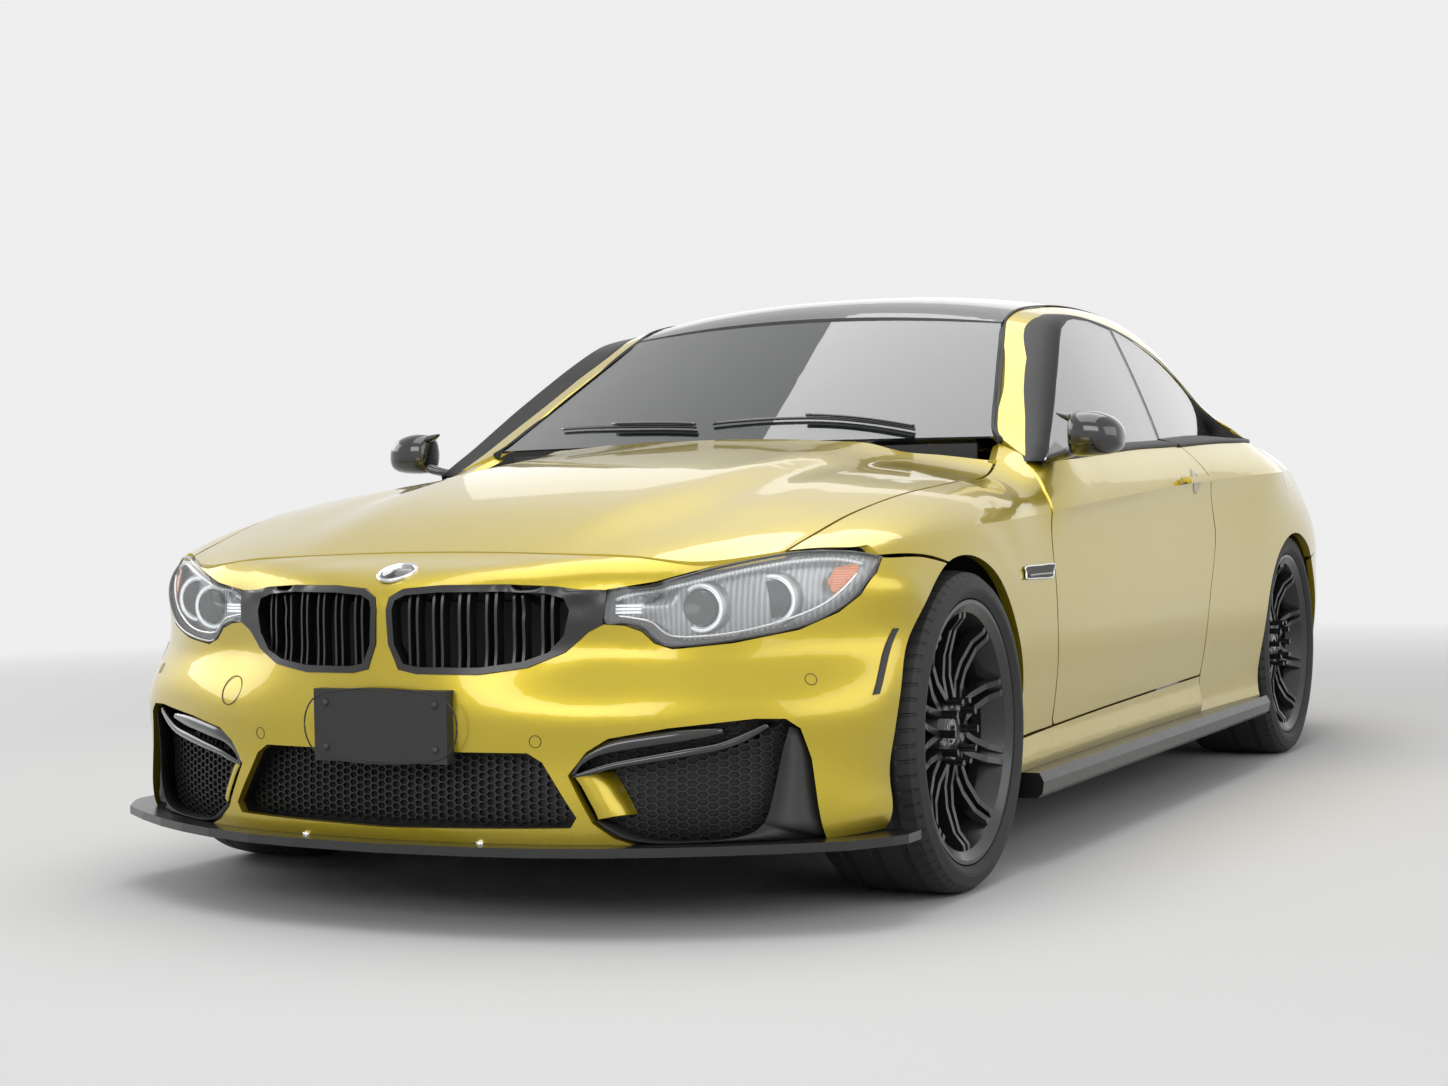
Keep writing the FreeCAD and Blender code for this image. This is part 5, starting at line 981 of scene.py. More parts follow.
# %% Nose fittings
HAIRLINE = 0.0009
SENSORS = [("sensor_inner", 0.317, 0.369), ("sensor_outer", 0.770, 0.474)]
SENSOR_RADIUS = 0.0115
TOW_COVER = (-0.417, 0.450)
TOW_COVER_RADIUS = 0.031
DISC_RIM = [(0.034, 0.0005), (0.0375, 0.0035), (0.0405, 0.0035), (0.0415, 0.0), (0.0405, -0.004)]
DISC_FACE = [(0.0345, 0.0012), (0.026, 0.0016), (0.0255, 0.0026), (0.012, 0.0034), (0.0115, 0.0042),
             (0.0001, 0.0048)]
STAY_NUT = [(0.008, 0.0), (0.008, 0.004), (0.004, 0.006), (0.0001, 0.006)]
BRACKET_BOLT = [(0.0075, 0.0), (0.0075, 0.002), (0.0045, 0.0045), (0.0001, 0.005)]
SHADOW_LINE = Material("shadow_line", base_color=(0.045, 0.035, 0.006, 1), roughness=0.5).data
bumper_front = from_front(skin_of("front_bumper"))


def skin_ring(skin, a, b, radius):
    """A hairline circle lying on the skin round (a, b), seen along the skin's axis."""
    hit, normal = skin.near(a, b)
    side = normal.orthogonal().normalized()
    other = normal.cross(side)
    points = [hit + radius * (math.cos(t) * side + math.sin(t) * other) for t in turns(40)]
    return tube_along(points, HAIRLINE, 6, closed=True)


for name, x, z in SENSORS:
    add_pair(name, skin_ring(bumper_front, x, z, SENSOR_RADIUS), SHADOW_LINE)
add_middle("tow_cover_line", skin_ring(bumper_front, *TOW_COVER, TOW_COVER_RADIUS), SHADOW_LINE)

hit, normal = bumper_front.near(0.0, 0.688)
add_middle("nose_disc_rim", turned(DISC_RIM, hit, normal), CHROME)
add_middle("nose_disc_face", turned(DISC_FACE, hit, normal), BLACK_TRIM)
stay = joined([tube_along([(0.2, -2.293, 0.1725), (0.2, -2.285, 0.200)], 0.0035, 10),
               turned(STAY_NUT, (0.2, -2.293, 0.1735), (0, 0, 1), 12)])
add_pair("splitter_stay", stay, CHROME)
bolts = [turned(BRACKET_BOLT, (x, -2.326, z), (0, -1, 0), 12)
         for x in (-0.125, 0.125) for z in (0.352, 0.438)]
add_middle("plate_bracket_bolts", joined(bolts), STEEL)
bracket_rib = [(-0.140, -2.3265, 0.337), (0.140, -2.3265, 0.337), (0.140, -2.3265, 0.453),
               (-0.140, -2.3265, 0.453)]
shape = tube_along(rounded_line(bracket_rib, 60, closed=True), 0.0016, 6, closed=True)
add_middle("plate_bracket_rib", shape, PLASTIC)
print("nose disc on the skin at", tuple(round(v, 3) for v in hit))

# %% [markdown]
# ## Side window surrounds
# Rubber seals close the step between the body and the glass on a real car. Each seal is a band lofted from
# the painted edge down to just behind the glass. The long one stays with the body and the strip along the
# waist goes with the door, so an opening door lifts its glass away from the seal.

# %% Side window seals
WINDOW_TOP = [(-677, 889), (-610, 925), (-536, 969), (-360, 1080), (-180, 1187), (-69, 1244), (20, 1268),
              (95, 1277), (256, 1279), (520, 1261), (740, 1232), (953, 1192), (1120, 1142), (1240, 1090),
              (1330, 1030), (1372, 975), (1345, 961), (1200, 959), (924, 955), (700, 948), (480, 940)]
BELT_LINE = [(478, 938), (300, 933), (60, 926), (-250, 911), (-450, 902), (-640, 892)]
SEAL_OUTWARD = 0.009
SEAL_INWARD = 0.017
SEAL_PROUD = 0.0015
SEAL_INBOARD = 0.007
POST_LOW, POST_HIGH = 0.945, 1.262
POST_EDGES = (0.374, 0.3785, 0.383)
side_skin = from_left(skin_of("body_side_left"))
glass_skin = from_left(skin_of("door_glass_left", "quarter_glass"))
door_skin = from_left(skin_of("door_left"))


def smoothed(values, rounds=6):
    """Values with their small jumps evened out; the ends stay."""
    for k in range(rounds):
        middle = [(a + 2 * b + c) / 4 for a, b, c in zip(values, values[1:], values[2:])]
        values = [values[0]] + middle + [values[-1]]
    return values


def flat_normals(line):
    """For each point of a (y, z) line, the direction to its left."""
    result = []
    for i in range(len(line)):
        a = line[max(i - 1, 0)]
        b = line[min(i + 1, len(line) - 1)]
        way = (b - a).normalized()
        result.append(Vector((0, -way.z, way.y)))
    return result


def stock_line(points, count):
    """A smooth (y, z) line in metres in the row frame from millimetres about the wheelbase's middle."""
    return rounded_line([(0, y / 1000 + WHEELBASE_MIDDLE, z / 1000) for y, z in points], count)


def pillar_share(point):
    """One on the windscreen pillar, where the painted edge faces forward, and zero behind it."""
    return min(max((-0.20 - point.y) / 0.15, 0.0), 1.0)


def depth_beside(skin, line, sides, distance):
    """The skin's x at a distance outside each point of a window's edge."""
    return [skin.near(p.y + n.y * distance, p.z + n.z * distance, 0.06)[0].x for p, n in zip(line, sides)]


def window_band(points, count):
    """A seal from the painted edge to behind the glass. The left of the line is outside the window.
    On the pillar the band is narrow, and its depth there is carried on from two points farther out."""
    line = stock_line(points, count)
    sides = flat_normals(line)
    shares = [pillar_share(p) for p in line]
    outer = [p + n * SEAL_OUTWARD * (1 - 0.8 * s) for p, n, s in zip(line, sides, shares)]
    inner = [p - n * SEAL_INWARD for p, n in zip(line, sides)]
    far = smoothed([glass_skin.near(p.y, p.z, 0.06)[0].x - SEAL_INBOARD for p in inner])
    on_skin = depth_beside(side_skin, line, sides, SEAL_OUTWARD)
    farther = depth_beside(side_skin, line, sides, SEAL_OUTWARD * 2)
    near = smoothed([a + (a - b) * 0.8 * s + SEAL_PROUD for a, b, s in zip(on_skin, farther, shares)])
    rows = [[Vector((x - 0.006, p.y, p.z)) for x, p in zip(near, outer)],
            [Vector((x, p.y, p.z)) for x, p in zip(near, outer)],
            [Vector((max(x, g) - 0.0005, p.y, p.z)) for x, g, p in zip(near, far, line)],
            [Vector((g, p.y, p.z)) for g, p in zip(far, inner)]]
    return loft(rows)


SEAL = Material("window_seal", base_color=grey(0.006), roughness=0.45, specular_ior_level=0.3).data
add_pair("window_seal", window_band(WINDOW_TOP, 150), SEAL)
belt = stock_line(BELT_LINE, 60)
edge_x = smoothed([door_skin.near(p.y, p.z - 0.006, 0.04)[0].x + 0.001 for p in belt])
glass_x = smoothed([glass_skin.near(p.y, p.z + 0.03, 0.06)[0].x for p in belt])
belt_rows = []
for start_x, out, up in ((edge_x, 0.0, -0.004), (edge_x, 0.001, 0.003), (glass_x, 0.005, 0.014),
                         (glass_x, 0.001, 0.015), (glass_x, 0.001, -0.004)):
    belt_rows.append([Vector((x + out, p.y, p.z + up)) for x, p in zip(start_x, belt)])
add_pair("belt_strip", loft(belt_rows), SEAL, "door_left")
post_rows = []
for k in range(12):
    z = POST_LOW + (POST_HIGH - POST_LOW) * k / 11
    post_rows.append([Vector((glass_skin.near(y - 0.006, z, 0.06)[0].x + 0.0008, y, z)) for y in POST_EDGES])
add_pair("window_divider", loft(post_rows), SEAL)
print("window seal runs back to y =", round(WINDOW_TOP[15][0] / 1000 + WHEELBASE_MIDDLE, 3))

# %% [markdown]
# ## Roof and screen joints
# One strip covers the joint of glass, roof and painted rail from the windscreen's foot to the rear
# screen's. Lying flush, it needs the skin's height at each point, which is met from above and then evened
# out.

# %% Screen seals
SCREEN_LINE = [(697, -606), (668, -562), (620, -400), (574, -240), (538, -110), (529, -20), (530, 200),
               (540, 500), (545, 800), (541, 1050), (549, 1250), (575, 1450), (604, 1610)]
SCREEN_HALF = 0.008
ROOF_HALF = 0.0045
top_skin = from_above(skin_of("windscreen", "roof_panel", "rear_screen", "body_side_left", "cowl",
                              "fender_left"))


def screen_band():
    """A flush black strip, wide at the screens and thin at the roof."""
    line = rounded_line([(x / 1000, y / 1000 + WHEELBASE_MIDDLE, 0) for x, y in SCREEN_LINE], 160)
    rows = []
    for share in (-1.0, -0.33, 0.33, 1.0):
        row = []
        for p in line:
            behind_front = min(max((p.y + 0.26) / 0.08, 0.0), 1.0)
            roof_part = behind_front * min(max((1.02 - p.y) / 0.10, 0.0), 1.0)
            half = SCREEN_HALF * (1 - roof_part) + ROOF_HALF * roof_part
            row.append((p.x + share * half, p.y))
        heights = smoothed([top_skin.near(x, y)[0].z + 0.0016 for x, y in row], 4)
        rows.append([Vector((x, y, z)) for (x, y), z in zip(row, heights)])
    return loft(rows)


soften(add_pair("screen_seal", screen_band(), SEAL), solid=0.002)
print("screen seals:", len(SCREEN_LINE), "points each")

# %% [markdown]
# ## Door mirrors
# A mirror's head is a fat shell with two horns and a foot that reach the door. Sculpting would do, but a
# loft through rounded sections keeps it repeatable: each section gives its place, half depth and half
# height. The silvered glass looks backwards, and a fine seam parts the lower shell from the upper one.

# %% Door mirrors
HEAD_SECTIONS = [(0.878, -0.735, 0.950, 0.034, 0.042), (0.884, -0.736, 0.950, 0.044, 0.050),
                 (0.905, -0.738, 0.951, 0.053, 0.0535), (0.935, -0.738, 0.951, 0.056, 0.053),
                 (0.965, -0.736, 0.948, 0.053, 0.048), (0.988, -0.732, 0.944, 0.043, 0.038),
                 (0.998, -0.729, 0.941, 0.030, 0.026), (1.002, -0.727, 0.940, 0.014, 0.012)]
HORN_SECTIONS = [(0.892, -0.742, 0.986, 0.030, 0.015), (0.872, -0.745, 0.991, 0.020, 0.010),
                 (0.856, -0.748, 0.997, 0.011, 0.006), (0.846, -0.750, 1.001, 0.004, 0.002)]
FOOT_SECTIONS = [(0.892, -0.740, 0.915, 0.034, 0.016), (0.872, -0.740, 0.908, 0.028, 0.014),
                 (0.850, -0.738, 0.902, 0.024, 0.012), (0.826, -0.734, 0.896, 0.026, 0.013),
                 (0.806, -0.730, 0.889, 0.034, 0.016)]
GLASS_MIDDLE = (0.938, -0.684, 0.950)
GLASS_HALF = (0.046, 0.040)
GLASS_THICKNESS = 0.004
SEAM_HEIGHT = 0.929
SEAM_LINE = [(0.884, -0.778), (0.905, -0.789), (0.935, -0.792), (0.962, -0.787), (0.985, -0.770)]


def rounded_section(x, y, z, half_y, half_z, count=24, power=2.6):
    """A closed section, between an ellipse and a box, standing across the car at x."""
    points = []
    for turn in turns(count):
        c = math.cos(turn)
        s = math.sin(turn)
        reach = (abs(c) ** power + abs(s) ** power) ** (-1 / power)
        points.append(Vector((x, y + half_y * reach * c, z + half_z * reach * s)))
    return points


def capped(rows):
    """A closed loft with both ends filled."""
    vertices, faces = loft(rows, closed=True)
    count = len(rows[0])
    faces.append(tuple(reversed(range(count))))
    faces.append(tuple(range(len(vertices) - count, len(vertices))))
    return vertices, faces


def mirror_glass_ring(back):
    """The glass's outline, moved back along the car."""
    x, y, z = GLASS_MIDDLE
    return [Vector((x + GLASS_HALF[0] * math.cos(a), y + back, z + GLASS_HALF[1] * math.sin(a)))
            for a in turns(32)]


shell = capped([rounded_section(*s) for s in HEAD_SECTIONS])
soften(add_pair("mirror_shell", shell, BLACK_TRIM, "door_left"), subdivide=1)
for number, sections in enumerate((HORN_SECTIONS, FOOT_SECTIONS), 1):
    horn = capped([rounded_section(*s, count=12, power=2.2) for s in sections])
    soften(add_pair(f"mirror_horn_{number}", horn, BLACK_TRIM, "door_left"), subdivide=1)
MIRROR_GLASS = Material("mirror_glass", base_color=grey(0.75), metallic=1.0, roughness=0.02).data
mirror_face = capped([mirror_glass_ring(0.0), mirror_glass_ring(GLASS_THICKNESS)])
add_pair("mirror_face", mirror_face, MIRROR_GLASS, "door_left", smooth=False)
seam = rounded_line([(x, y, SEAM_HEIGHT) for x, y in SEAM_LINE], 20)
add_pair("mirror_seam", tube_along(seam, 0.0012, 6), SHADOW_LINE, "door_left")
for side_name in ("left", "right"):
    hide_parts("mirror_" + side_name)
print("mirrors reach out to x =", max(s[0] for s in HEAD_SECTIONS))

# %% [markdown]
# ## Side details
# The vent behind the front wheel has a bright rim and a dark slot. The door handle has a shallow cup
# behind it, which a darker dish on the door's skin stands for, because a real hollow would cut the packed
# door. The fuel flap, on the right side only, is drawn as its shut line.

# %% Side details
GILL = [(-1041, 629), (-1038, 643), (-1031, 655), (-930, 655), (-823, 654), (-834, 641), (-849, 626),
        (-945, 627)]
GILL_SLOT = [(-1024, 636), (-940, 636), (-862, 635)]
CUP_CENTRE = (0.440 + WHEELBASE_MIDDLE, 0.836)
CUP_HALF = (0.040, 0.036)
CUP_RINGS = [(1.0, 0.0004), (0.94, 0.0012), (0.7, 0.0010), (0.4, 0.0009), (0.02, 0.0008)]
FUEL_FLAP = [(1480, 700), (1480, 800), (1490, 812), (1640, 812), (1652, 800), (1652, 700), (1640, 690),
             (1490, 690)]
fender_skin = from_left(skin_of("fender_left", "door_left", "body_side_left"))


def side_loop(points, count, out):
    """A smooth (y, z) line laid on the car's left side."""
    line = stock_line(points, count)
    return [Vector((fender_skin.near(p.y, p.z, 0.06)[0].x + out, p.y, p.z)) for p in line]


def dish_material():
    """The paint as it looks in the shade of the handle."""
    dish = Material("dish_paint", base_color=(0.30, 0.225, 0.012, 1), metallic=0.7, coat_weight=1.0,
                    coat_roughness=0.04)
    dish.set(roughness=dish.place.noise(30.0, 1.0) * 0.1 + 0.32)
    return dish.data


add_pair("gill_rim", tube_along(side_loop(GILL, 80, 0.0048), 0.0022, 8, closed=True), CHROME)
add_pair("gill_slot", tube_along(side_loop(GILL_SLOT, 24, 0.0055), 0.0045, 8, flat=0.6), BLACK_TRIM)

cup_rows = []
for share, out in CUP_RINGS:
    row = []
    for turn in turns(40):
        y = CUP_CENTRE[0] + CUP_HALF[0] * share * math.cos(turn)
        z = CUP_CENTRE[1] + CUP_HALF[1] * share * math.sin(turn)
        row.append(Vector((door_skin.near(y, z, 0.05)[0].x + out, y, z)))
    cup_rows.append(row)
add_pair("handle_cup", loft(cup_rows, closed=True), dish_material(), "door_left")
flap_line = [Vector((-p.x, p.y, p.z)) for p in side_loop(FUEL_FLAP + FUEL_FLAP[:1], 90, 0.0001)]
add_middle("fuel_flap_line", tube_along(flap_line, HAIRLINE, 6), SHADOW_LINE)
print("handle cup on the door at y =", round(CUP_CENTRE[0], 3))

# %% [markdown]
# ## Tail lamps and boot
# Behind a real lamp's red cover run light bars and a ribbed reflector. Here they are laid on the cover's
# own surface, met from behind. The boot's face gets a plain recess panel and its edge a thin black lip.

# %% Tail lamps and boot
TAIL_BARS = [[(575, 722), (650, 724), (730, 732), (800, 738), (836, 745)],
             [(575, 745), (650, 748), (730, 756), (790, 763), (830, 774)]]
TAIL_REFLECTOR = [(575, 775), (760, 788), (822, 795), (822, 806), (700, 826), (575, 828)]
PLATE_RECESS = [(-0.27, 0.70), (0.27, 0.70), (0.27, 0.83), (-0.27, 0.83)]
LIP_HALF_WIDTH = 0.55
LIP_SECTION = [(-0.030, -0.001), (0.0, 0.009), (0.008, 0.012), (0.010, 0.008), (0.006, -0.003)]
LAMP_GLOW = glowing("tail_glow", (1.0, 0.05, 0.03, 1), 0.25, (0.40, 0.010, 0.008, 1))
RED_FLUTES = fluted("tail_reflector", (0.22, 0.004, 0.006, 1), (0.40, 0.012, 0.012, 1), 0.004, "Z")
lamp_rear = from_rear(skin_of("tail_lamps"))
lid_rear = from_rear(skin_of("boot_lid"))
roof_skin = from_above(skin_of("roof_panel", "rear_screen", "boot_lid"))


def tail_line(points, count):
    """A smooth (x, z) line laid on the lamp's cover."""
    line = rounded_line([(x / 1000, 0, z / 1000) for x, z in points], count)
    return [Vector((p.x, lamp_rear.near(p.x, p.z, 0.05)[0].y, p.z)) for p in line]


for number, points in enumerate(TAIL_BARS, 1):
    add_pair(f"tail_light_bar_{number}", tube_along(tail_line(points, 40), 0.0038, 8), LAMP_GLOW)
reflector_plate = draped(millimetres(TAIL_REFLECTOR), 0.015, lamp_rear, lambda x, z: 0.001)
soften(add_pair("tail_reflector", reflector_plate, RED_FLUTES), solid=0.002, offset=1.0)
recess = draped(PLATE_RECESS, 0.03, lid_rear, lambda x, z: 0.003)
soften(add_middle("rear_plate_panel", recess, PLASTIC, "boot_lid"), solid=0.004, offset=1.0)

lip_line = []
for k in range(41):
    share = 2 * k / 40 - 1
    lip_line.append((LIP_HALF_WIDTH * share, 2.24 - 0.12 * share ** 2))
heights = smoothed([roof_skin.near(x, y, 0.05)[0].z for x, y in lip_line])
lip_rows = []
for out_y, out_z in LIP_SECTION:
    lip_rows.append([Vector((x, y + out_y, z + out_z)) for (x, y), z in zip(lip_line, heights)])
add_middle("boot_lip", loft(lip_rows), CARBON, "boot_lid")
print("boot lip spans", 2 * LIP_HALF_WIDTH, "m")

# %% [markdown]
# ## Roof lamp and aerial
# The third brake lamp is a low strip behind the rear screen's head. The aerial is a small fin: a loft
# through seven-point arches that rise and fall along the roof, smoothed afterwards.

# %% Roof lamp and aerial
BRAKE_LAMP_ROWS = [(0.001, 1.020), (0.004, 1.026), (0.004, 1.040), (0.001, 1.046)]
BRAKE_LAMP_SUNK = 0.012
BRAKE_LAMP_HALF = 0.16
FIN = [(0.770, 0.004, 0.004), (0.790, 0.008, 0.014), (0.825, 0.018, 0.020), (0.860, 0.030, 0.020),
       (0.885, 0.038, 0.017), (0.902, 0.036, 0.013), (0.912, 0.020, 0.010), (0.918, 0.004, 0.006)]
FIN_ARCH = [(1.0, 0.0), (0.75, 0.35), (0.42, 0.75), (0.0, 1.0), (-0.42, 0.75), (-0.75, 0.35), (-1.0, 0.0)]

brake_rows = []
for proud, y in BRAKE_LAMP_ROWS:
    row = []
    for k in range(-8, 9):
        x = BRAKE_LAMP_HALF * k / 8
        row.append(Vector((x, y, roof_skin.near(x, y)[0].z + proud - BRAKE_LAMP_SUNK)))
    brake_rows.append(row)
add_middle("third_brake_lamp", loft(brake_rows), LAMP_GLOW)
fin_rows = []
for y, height, half in FIN:
    base = roof_skin.near(0.0, y)[0].z - 0.003
    fin_rows.append([Vector((half * across, y, base + height * up)) for across, up in FIN_ARCH])
soften(add_middle("roof_aerial", loft(fin_rows), GLOSS_BLACK), subdivide=2)
print("aerial is", max(f[1] for f in FIN), "m high")

# %% [markdown]
# ## Screen wipers
# Two arms lie at the foot of the windscreen. A blade is a thin tube that rests on the glass, and its arm
# is a flatter tube above the blade's inner part. They stay clear of the bonnet's rear edge as it opens.

# %% Screen wipers
WIPERS = [((0.50, -0.760), (0.27, -0.760), (-0.02, -0.795)),
          ((-0.06, -0.808), (-0.28, -0.765), (-0.50, -0.700))]
ARM_POINTS = 18
screen_skin = from_above(skin_of("windscreen", "cowl"))
for number, line_points in enumerate(WIPERS, 1):
    line = rounded_line([(x, y, 0) for x, y in line_points], 30)
    heights = smoothed([screen_skin.near(p.x, p.y, 0.05)[0].z for p in line])
    blade_line = [Vector((p.x, p.y, z + 0.008)) for p, z in zip(line, heights)]
    arm_line = [Vector((p.x, p.y - 0.004, z + 0.016)) for p, z in zip(line[:ARM_POINTS], heights)]
    blade = tube_along(blade_line, 0.0045, 6)
    arm = tube_along(arm_line, 0.006, 8, flat=0.6)
    add_middle(f"wiper_{number}", joined([blade, arm]), BLACK_TRIM)
print("wipers:", len(WIPERS))

# %% [markdown]
# ## Seats
# A car seat is foam under leather, crowned where it is sat on and drawn in at its seams. Cloth simulation
# is one way to puff it up. This way moves the points of a fine grid by formulas, which gives the same pad
# at every run: a rounded box, a swelling upper side, sides that pull in between the corners, raised
# bolsters along its sides and sewn channels across it.

# %% Pads
BOX_POWER = 6
BOLSTER_AT = 0.82
BOLSTER_WIDTH = 0.16
CHANNEL_WIDTH = 0.025


def pad(name, centre, half, turn, crown=0.02, pull=0.04, bolster=0.0, channels=(), steps=30):
    """A padded form about its centre. Local +Z is the side sat on; turn tips it about X, in degrees."""
    tip = Matrix.Rotation(math.radians(turn), 3, "X")
    grid = bmesh.new()
    bmesh.ops.create_cube(grid, size=2.0)
    bmesh.ops.subdivide_edges(grid, edges=grid.edges[:], cuts=steps, use_grid_fill=True)
    for vertex in grid.verts:
        p = vertex.co
        x, y, z = p * sum(abs(v) ** BOX_POWER for v in p) ** (-1 / BOX_POWER)
        lift = 0.0
        if z > 0:
            swell = max(0.0, 1 - x * x) * max(0.0, 1 - y * y)
            ridge = math.exp(-((abs(x) - BOLSTER_AT) / BOLSTER_WIDTH) ** 2)
            lift = crown * swell + bolster * ridge * max(0.0, 1 - y ** 6)
            for axis, at, depth in channels:
                across = (y if axis == "Y" else abs(x)) - at
                lift -= depth * math.exp(-(across / CHANNEL_WIDTH) ** 2) * max(0.0, 1 - y ** 8)
        x *= 1 - pull * max(0.0, 1 - y * y)
        y *= 1 - pull * max(0.0, 1 - x * x)
        vertex.co = Vector(centre) + tip @ Vector((x * half[0], y * half[1], z * half[2] + lift))
    vertices = [tuple(v.co) for v in grid.verts]
    faces = [tuple(v.index for v in f.verts) for f in grid.faces]
    grid.free()
    piece = add_piece(name, vertices, faces, LEATHER)
    return piece


def along_back(foot, turn, distance, out=0.0):
    """A place on a seat back, up from its foot and out of its face."""
    up = Matrix.Rotation(math.radians(turn), 3, "X")
    return Vector(foot) + up @ Vector((0, distance, out))

# %% [markdown]
# ## Front and rear seats
# Each front seat is a cushion, a back and a headrest on a plain base. The rear bench is two cushions and
# two backs, with a hard shelf behind them. All stand in the space that their plain solids hold.

# %% Front and rear seats
FRONT_SEAT_X = 0.37
FRONT_CUSHION = (-0.150, 0.345)
FRONT_BACK_FOOT = (0.140, 0.345)
FRONT_TURN = 70
CUSHION_CHANNELS = (("X", 0.60, 0.010), ("Y", -0.45, 0.007), ("Y", 0.0, 0.007), ("Y", 0.42, 0.007))
BACK_CHANNELS = (("X", 0.58, 0.010), ("Y", -0.40, 0.007), ("Y", 0.0, 0.007), ("Y", 0.40, 0.007))
REAR_SEAT_X = 0.275
REAR_CUSHION = (0.705, 0.325)
REAR_BACK_FOOT = (0.850, 0.370)
REAR_TURN = 66
SHELF = [(-0.52, 1.05), (0.52, 1.05), (0.50, 1.53), (-0.50, 1.53)]


def front_seat(side_name, x):
    """One front seat's pads and base."""
    foot = (x, *FRONT_BACK_FOOT)
    pads = [
        pad(f"seat_cushion_{side_name}", (x, *FRONT_CUSHION), (0.235, 0.272, 0.058), -4,
            crown=0.016, bolster=0.030, channels=CUSHION_CHANNELS),
        pad(f"seat_back_{side_name}", along_back(foot, FRONT_TURN, 0.315), (0.230, 0.315, 0.050), FRONT_TURN,
            crown=0.012, bolster=0.034, channels=BACK_CHANNELS),
        pad(f"seat_headrest_{side_name}", along_back(foot, FRONT_TURN, 0.706, -0.002),
            (0.125, 0.066, 0.040), FRONT_TURN, crown=0.010, steps=20),
    ]
    base = capped([rounded_section(x + k * 0.19, -0.15, 0.252, 0.23, 0.045, power=8) for k in (-1, 1)])
    add_middle(f"seat_base_{side_name}", base, PLASTIC, smooth=False)
    return pads


def rear_seat(side_name, x):
    """One half of the rear bench."""
    foot = (x, *REAR_BACK_FOOT)
    return [
        pad(f"rear_cushion_{side_name}", (x, *REAR_CUSHION), (0.270, 0.185, 0.062), -5,
            crown=0.014, bolster=0.012, channels=(("X", 0.62, 0.008), ("Y", 0.0, 0.006))),
        pad(f"rear_back_{side_name}", along_back(foot, REAR_TURN, 0.280), (0.270, 0.275, 0.045), REAR_TURN,
            crown=0.012, bolster=0.014, channels=(("X", 0.60, 0.008), ("Y", 0.10, 0.006))),
    ]


front_pads = front_seat("left", FRONT_SEAT_X) + front_seat("right", -FRONT_SEAT_X)
for piece in front_pads:
    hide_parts("front_seats")
rear_pads = rear_seat("left", REAR_SEAT_X) + rear_seat("right", -REAR_SEAT_X)
for piece in rear_pads:
    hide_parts("rear_seat")
shelf = capped([[Vector((x, y, z)) for x, y in SHELF] for z in (0.901, 0.911)])
add_middle("parcel_shelf", shelf, PLASTIC, smooth=False)
print("pads:", len(front_pads) + len(rear_pads))

# %% [markdown]
# ## Tyres
# A tread could be cut into the mesh, but its hundreds of blocks would outweigh the car. A bump does it
# from the place of each point: its reach and angle about the wheel, and its place across the tread. Four
# grooves run round it, fine slots cross its shoulders, and the sidewall has raised lines and no lettering.
# The grooves and slots are also painted darker than the rubber round them, which is painted shade.

# %% Tyre tread
TYRES = {"front": (-1.514, 0.3305, 0.660, 0.915), "rear": (1.298, 0.3365, 0.642, 0.917)}
TREAD_DEPTH = 0.014
SHOULDER_SLOTS = 68.0


def tyre_material(name, centre, radius, half_width, middle):
    """Rubber with its tread, for the tyre whose centre is at (y, z)."""
    rubber = Material(name, base_color=grey(0.016), roughness=0.6)
    along = rubber.place.part("Y") - centre[0]
    above = rubber.place.part("Z") - centre[1]
    reach = (along * along + above * above).maths("SQRT")
    angle = above.maths("ARCTAN2", along)
    across = (rubber.place.part("X").maths("ABSOLUTE") - middle) / half_width
    on_tread = reach.above(radius - TREAD_DEPTH, 0.004)
    grooves = (across * (4 * math.pi)).maths("COSINE").above(0.55, 0.25)
    slots = ((angle * SHOULDER_SLOTS) + across * 2.5).maths("SINE").above(0.62, 0.25)
    shoulder = across.maths("ABSOLUTE").above(0.62, 0.05)
    cut = (grooves + slots * shoulder).clamped() * on_tread
    lines = ((reach - (radius - 0.030)) * 900.0).maths("COSINE").above(0.86, 0.12)
    lines = lines * reach.above(radius - 0.034, 0.002) * (1.0 - reach.above(radius - 0.020, 0.002))
    height = cut * -1.0 + lines * 0.15
    dust = rubber.place.noise(38.0, 4.0)
    # the colour is the dust's tone, made darker in the grooves and slots: painted shade in the tread's
    # recesses
    shade = (dust + cut * -0.8).clamped()
    rubber.set(base_color=shade.blend(grey(0.006), grey(0.024)), roughness=dust * 0.2 + 0.55,
               normal=height.bump(0.9, 0.004))
    return rubber.data


for end, (centre_y, centre_z, inner_x, outer_x) in TYRES.items():
    tread = tyre_material(f"tyre_{end}", (centre_y, centre_z), centre_z, (outer_x - inner_x) / 2,
                          (inner_x + outer_x) / 2)
    for side_name in ("left", "right"):
        dress(f"tyre_{end}_{side_name}", tread)
    print(end, "tyre radius:", centre_z)

# %% [markdown]
# ## Wheel caps and bolts
# The hub of a real wheel carries a cap and a ring of bolts. They are turned from short profiles and set on
# the wheel's own face, so they turn with it. The cap is plain.

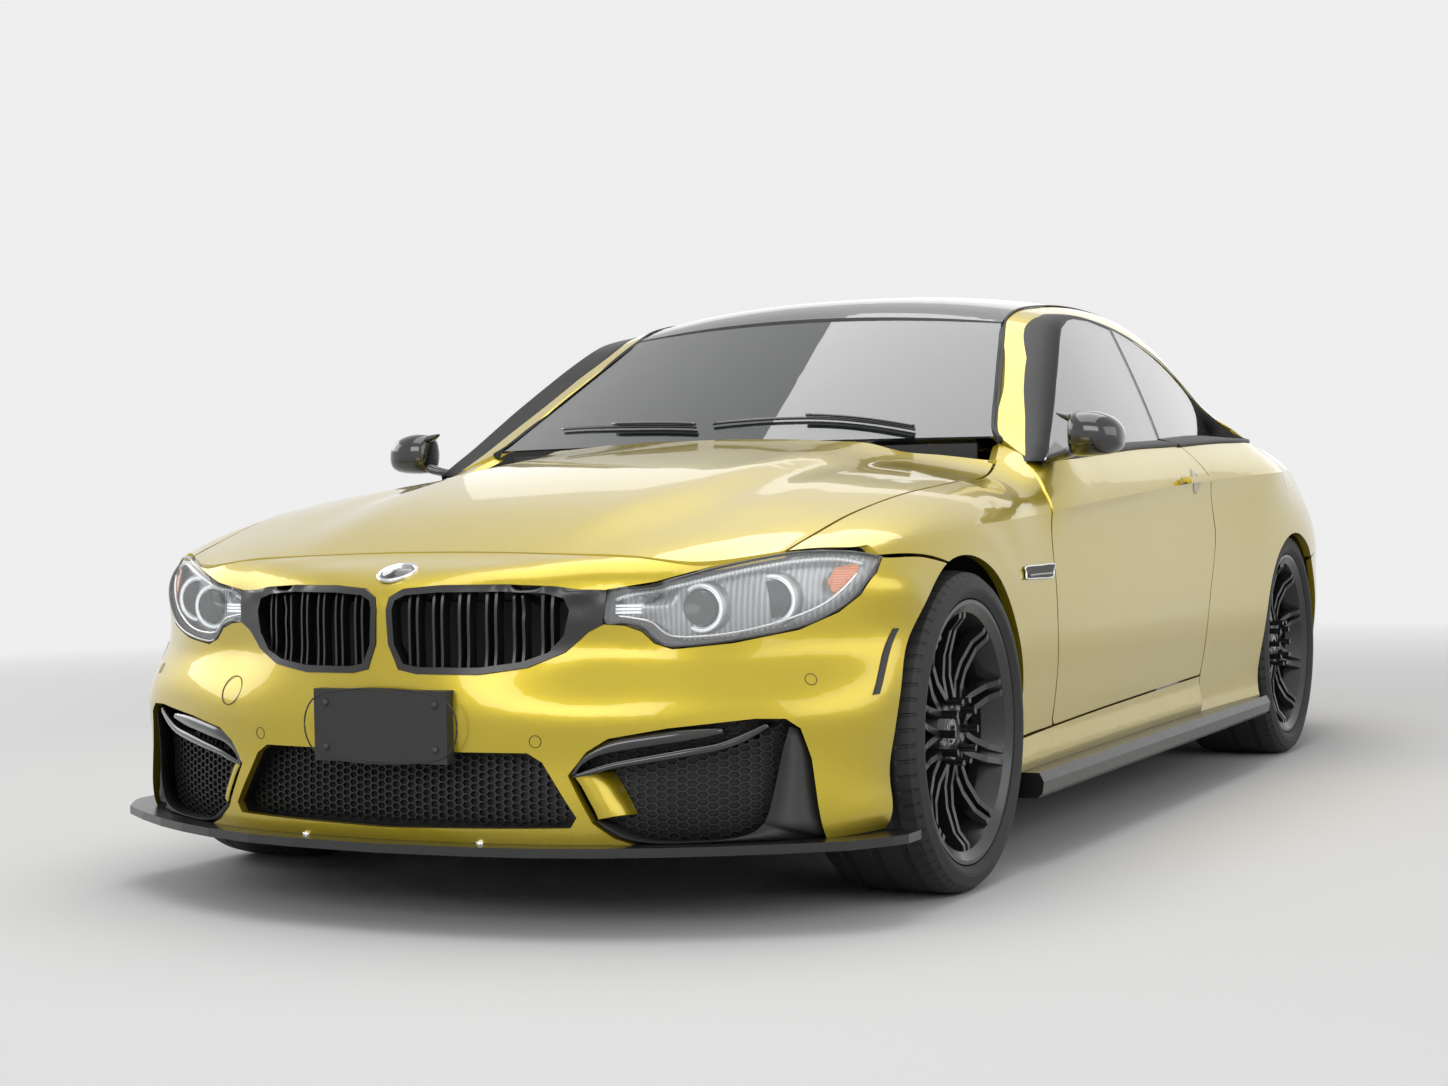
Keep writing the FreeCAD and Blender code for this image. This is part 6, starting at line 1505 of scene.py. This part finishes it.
# %% Wheel caps and bolts
CAP = [(0.0335, -0.001), (0.0335, 0.003), (0.031, 0.0045), (0.0285, 0.0042), (0.027, 0.0055),
       (0.016, 0.0068), (0.0001, 0.0072)]
CAP_RING = [(0.0265, 0.0050), (0.0272, 0.0066), (0.0258, 0.0066), (0.0252, 0.0050)]
BOLT = [(0.0105, -0.002), (0.0105, 0.005), (0.009, 0.0065), (0.0055, 0.0065), (0.005, 0.0035),
        (0.0001, 0.0035)]
BOLTS = 5
BOLT_CIRCLE = 0.056
OUTWARD = Vector((1, 0, 0))
for end, (centre_y, centre_z, inner_x, outer_x) in TYRES.items():
    face_skin = from_left(skin_of(f"wheel_{end}_left"))
    hub = Vector((face_skin.near(centre_y, centre_z, 0.02)[0].x, centre_y, centre_z))
    add_pair(f"wheel_cap_{end}", turned(CAP, hub, OUTWARD), GLOSS_BLACK, f"wheel_{end}_left")
    add_pair(f"wheel_cap_ring_{end}", turned(CAP_RING, hub, OUTWARD), SILVER_TRIM, f"wheel_{end}_left")
    bolts = []
    for k in range(BOLTS):
        turn = 2 * math.pi * (k + 0.5) / BOLTS + math.pi / 2
        y = centre_y + BOLT_CIRCLE * math.cos(turn)
        z = centre_z + BOLT_CIRCLE * math.sin(turn)
        foot = Vector((face_skin.near(y, z, 0.02)[0].x, y, z))
        bolts.append(turned(BOLT, foot, OUTWARD, steps=18))
    add_pair(f"wheel_bolts_{end}", joined(bolts), CAST, f"wheel_{end}_left")
    print(end, "hub face at x =", round(hub.x, 4))
for name in ("skirts", "splitter", "grilles"):
    dress(name, SATIN_BLACK)

# %% [markdown]
# ## World
# The world lights what the lamps leave dark: bright overhead and mid grey at eye level, as a white room
# is. A picture of a room would bring its own shapes into the paint. Rays that are looked along see the
# backdrop's even tone instead.

# %% World
WORLD_STRENGTH = 0.75


def add_world():
    """A soft white room: light overhead, mid grey at eye level."""
    world = bpy.data.worlds.new("studio")
    bpy.context.scene.world = world
    world.use_nodes = True
    tree = world.node_tree
    background = tree.nodes["Background"]
    way = Value(tree, tree.nodes.new("ShaderNodeTexCoord").outputs["Generated"])
    height = way.part("Z")
    room = height.above(-0.05, 0.9).blend(grey(0.22), grey(0.75))
    path = tree.nodes.new("ShaderNodeLightPath")
    seen = Value(tree, path.outputs["Is Camera Ray"])
    for ray in ("Is Glossy Ray", "Is Transmission Ray"):
        seen = seen + Value(tree, path.outputs[ray])
    tone = seen.clamped().blend(room, grey(BACKDROP_TONE / WORLD_STRENGTH))
    tree.links.new(tone.socket, background.inputs["Color"])
    background.inputs["Strength"].default_value = WORLD_STRENGTH


add_world()
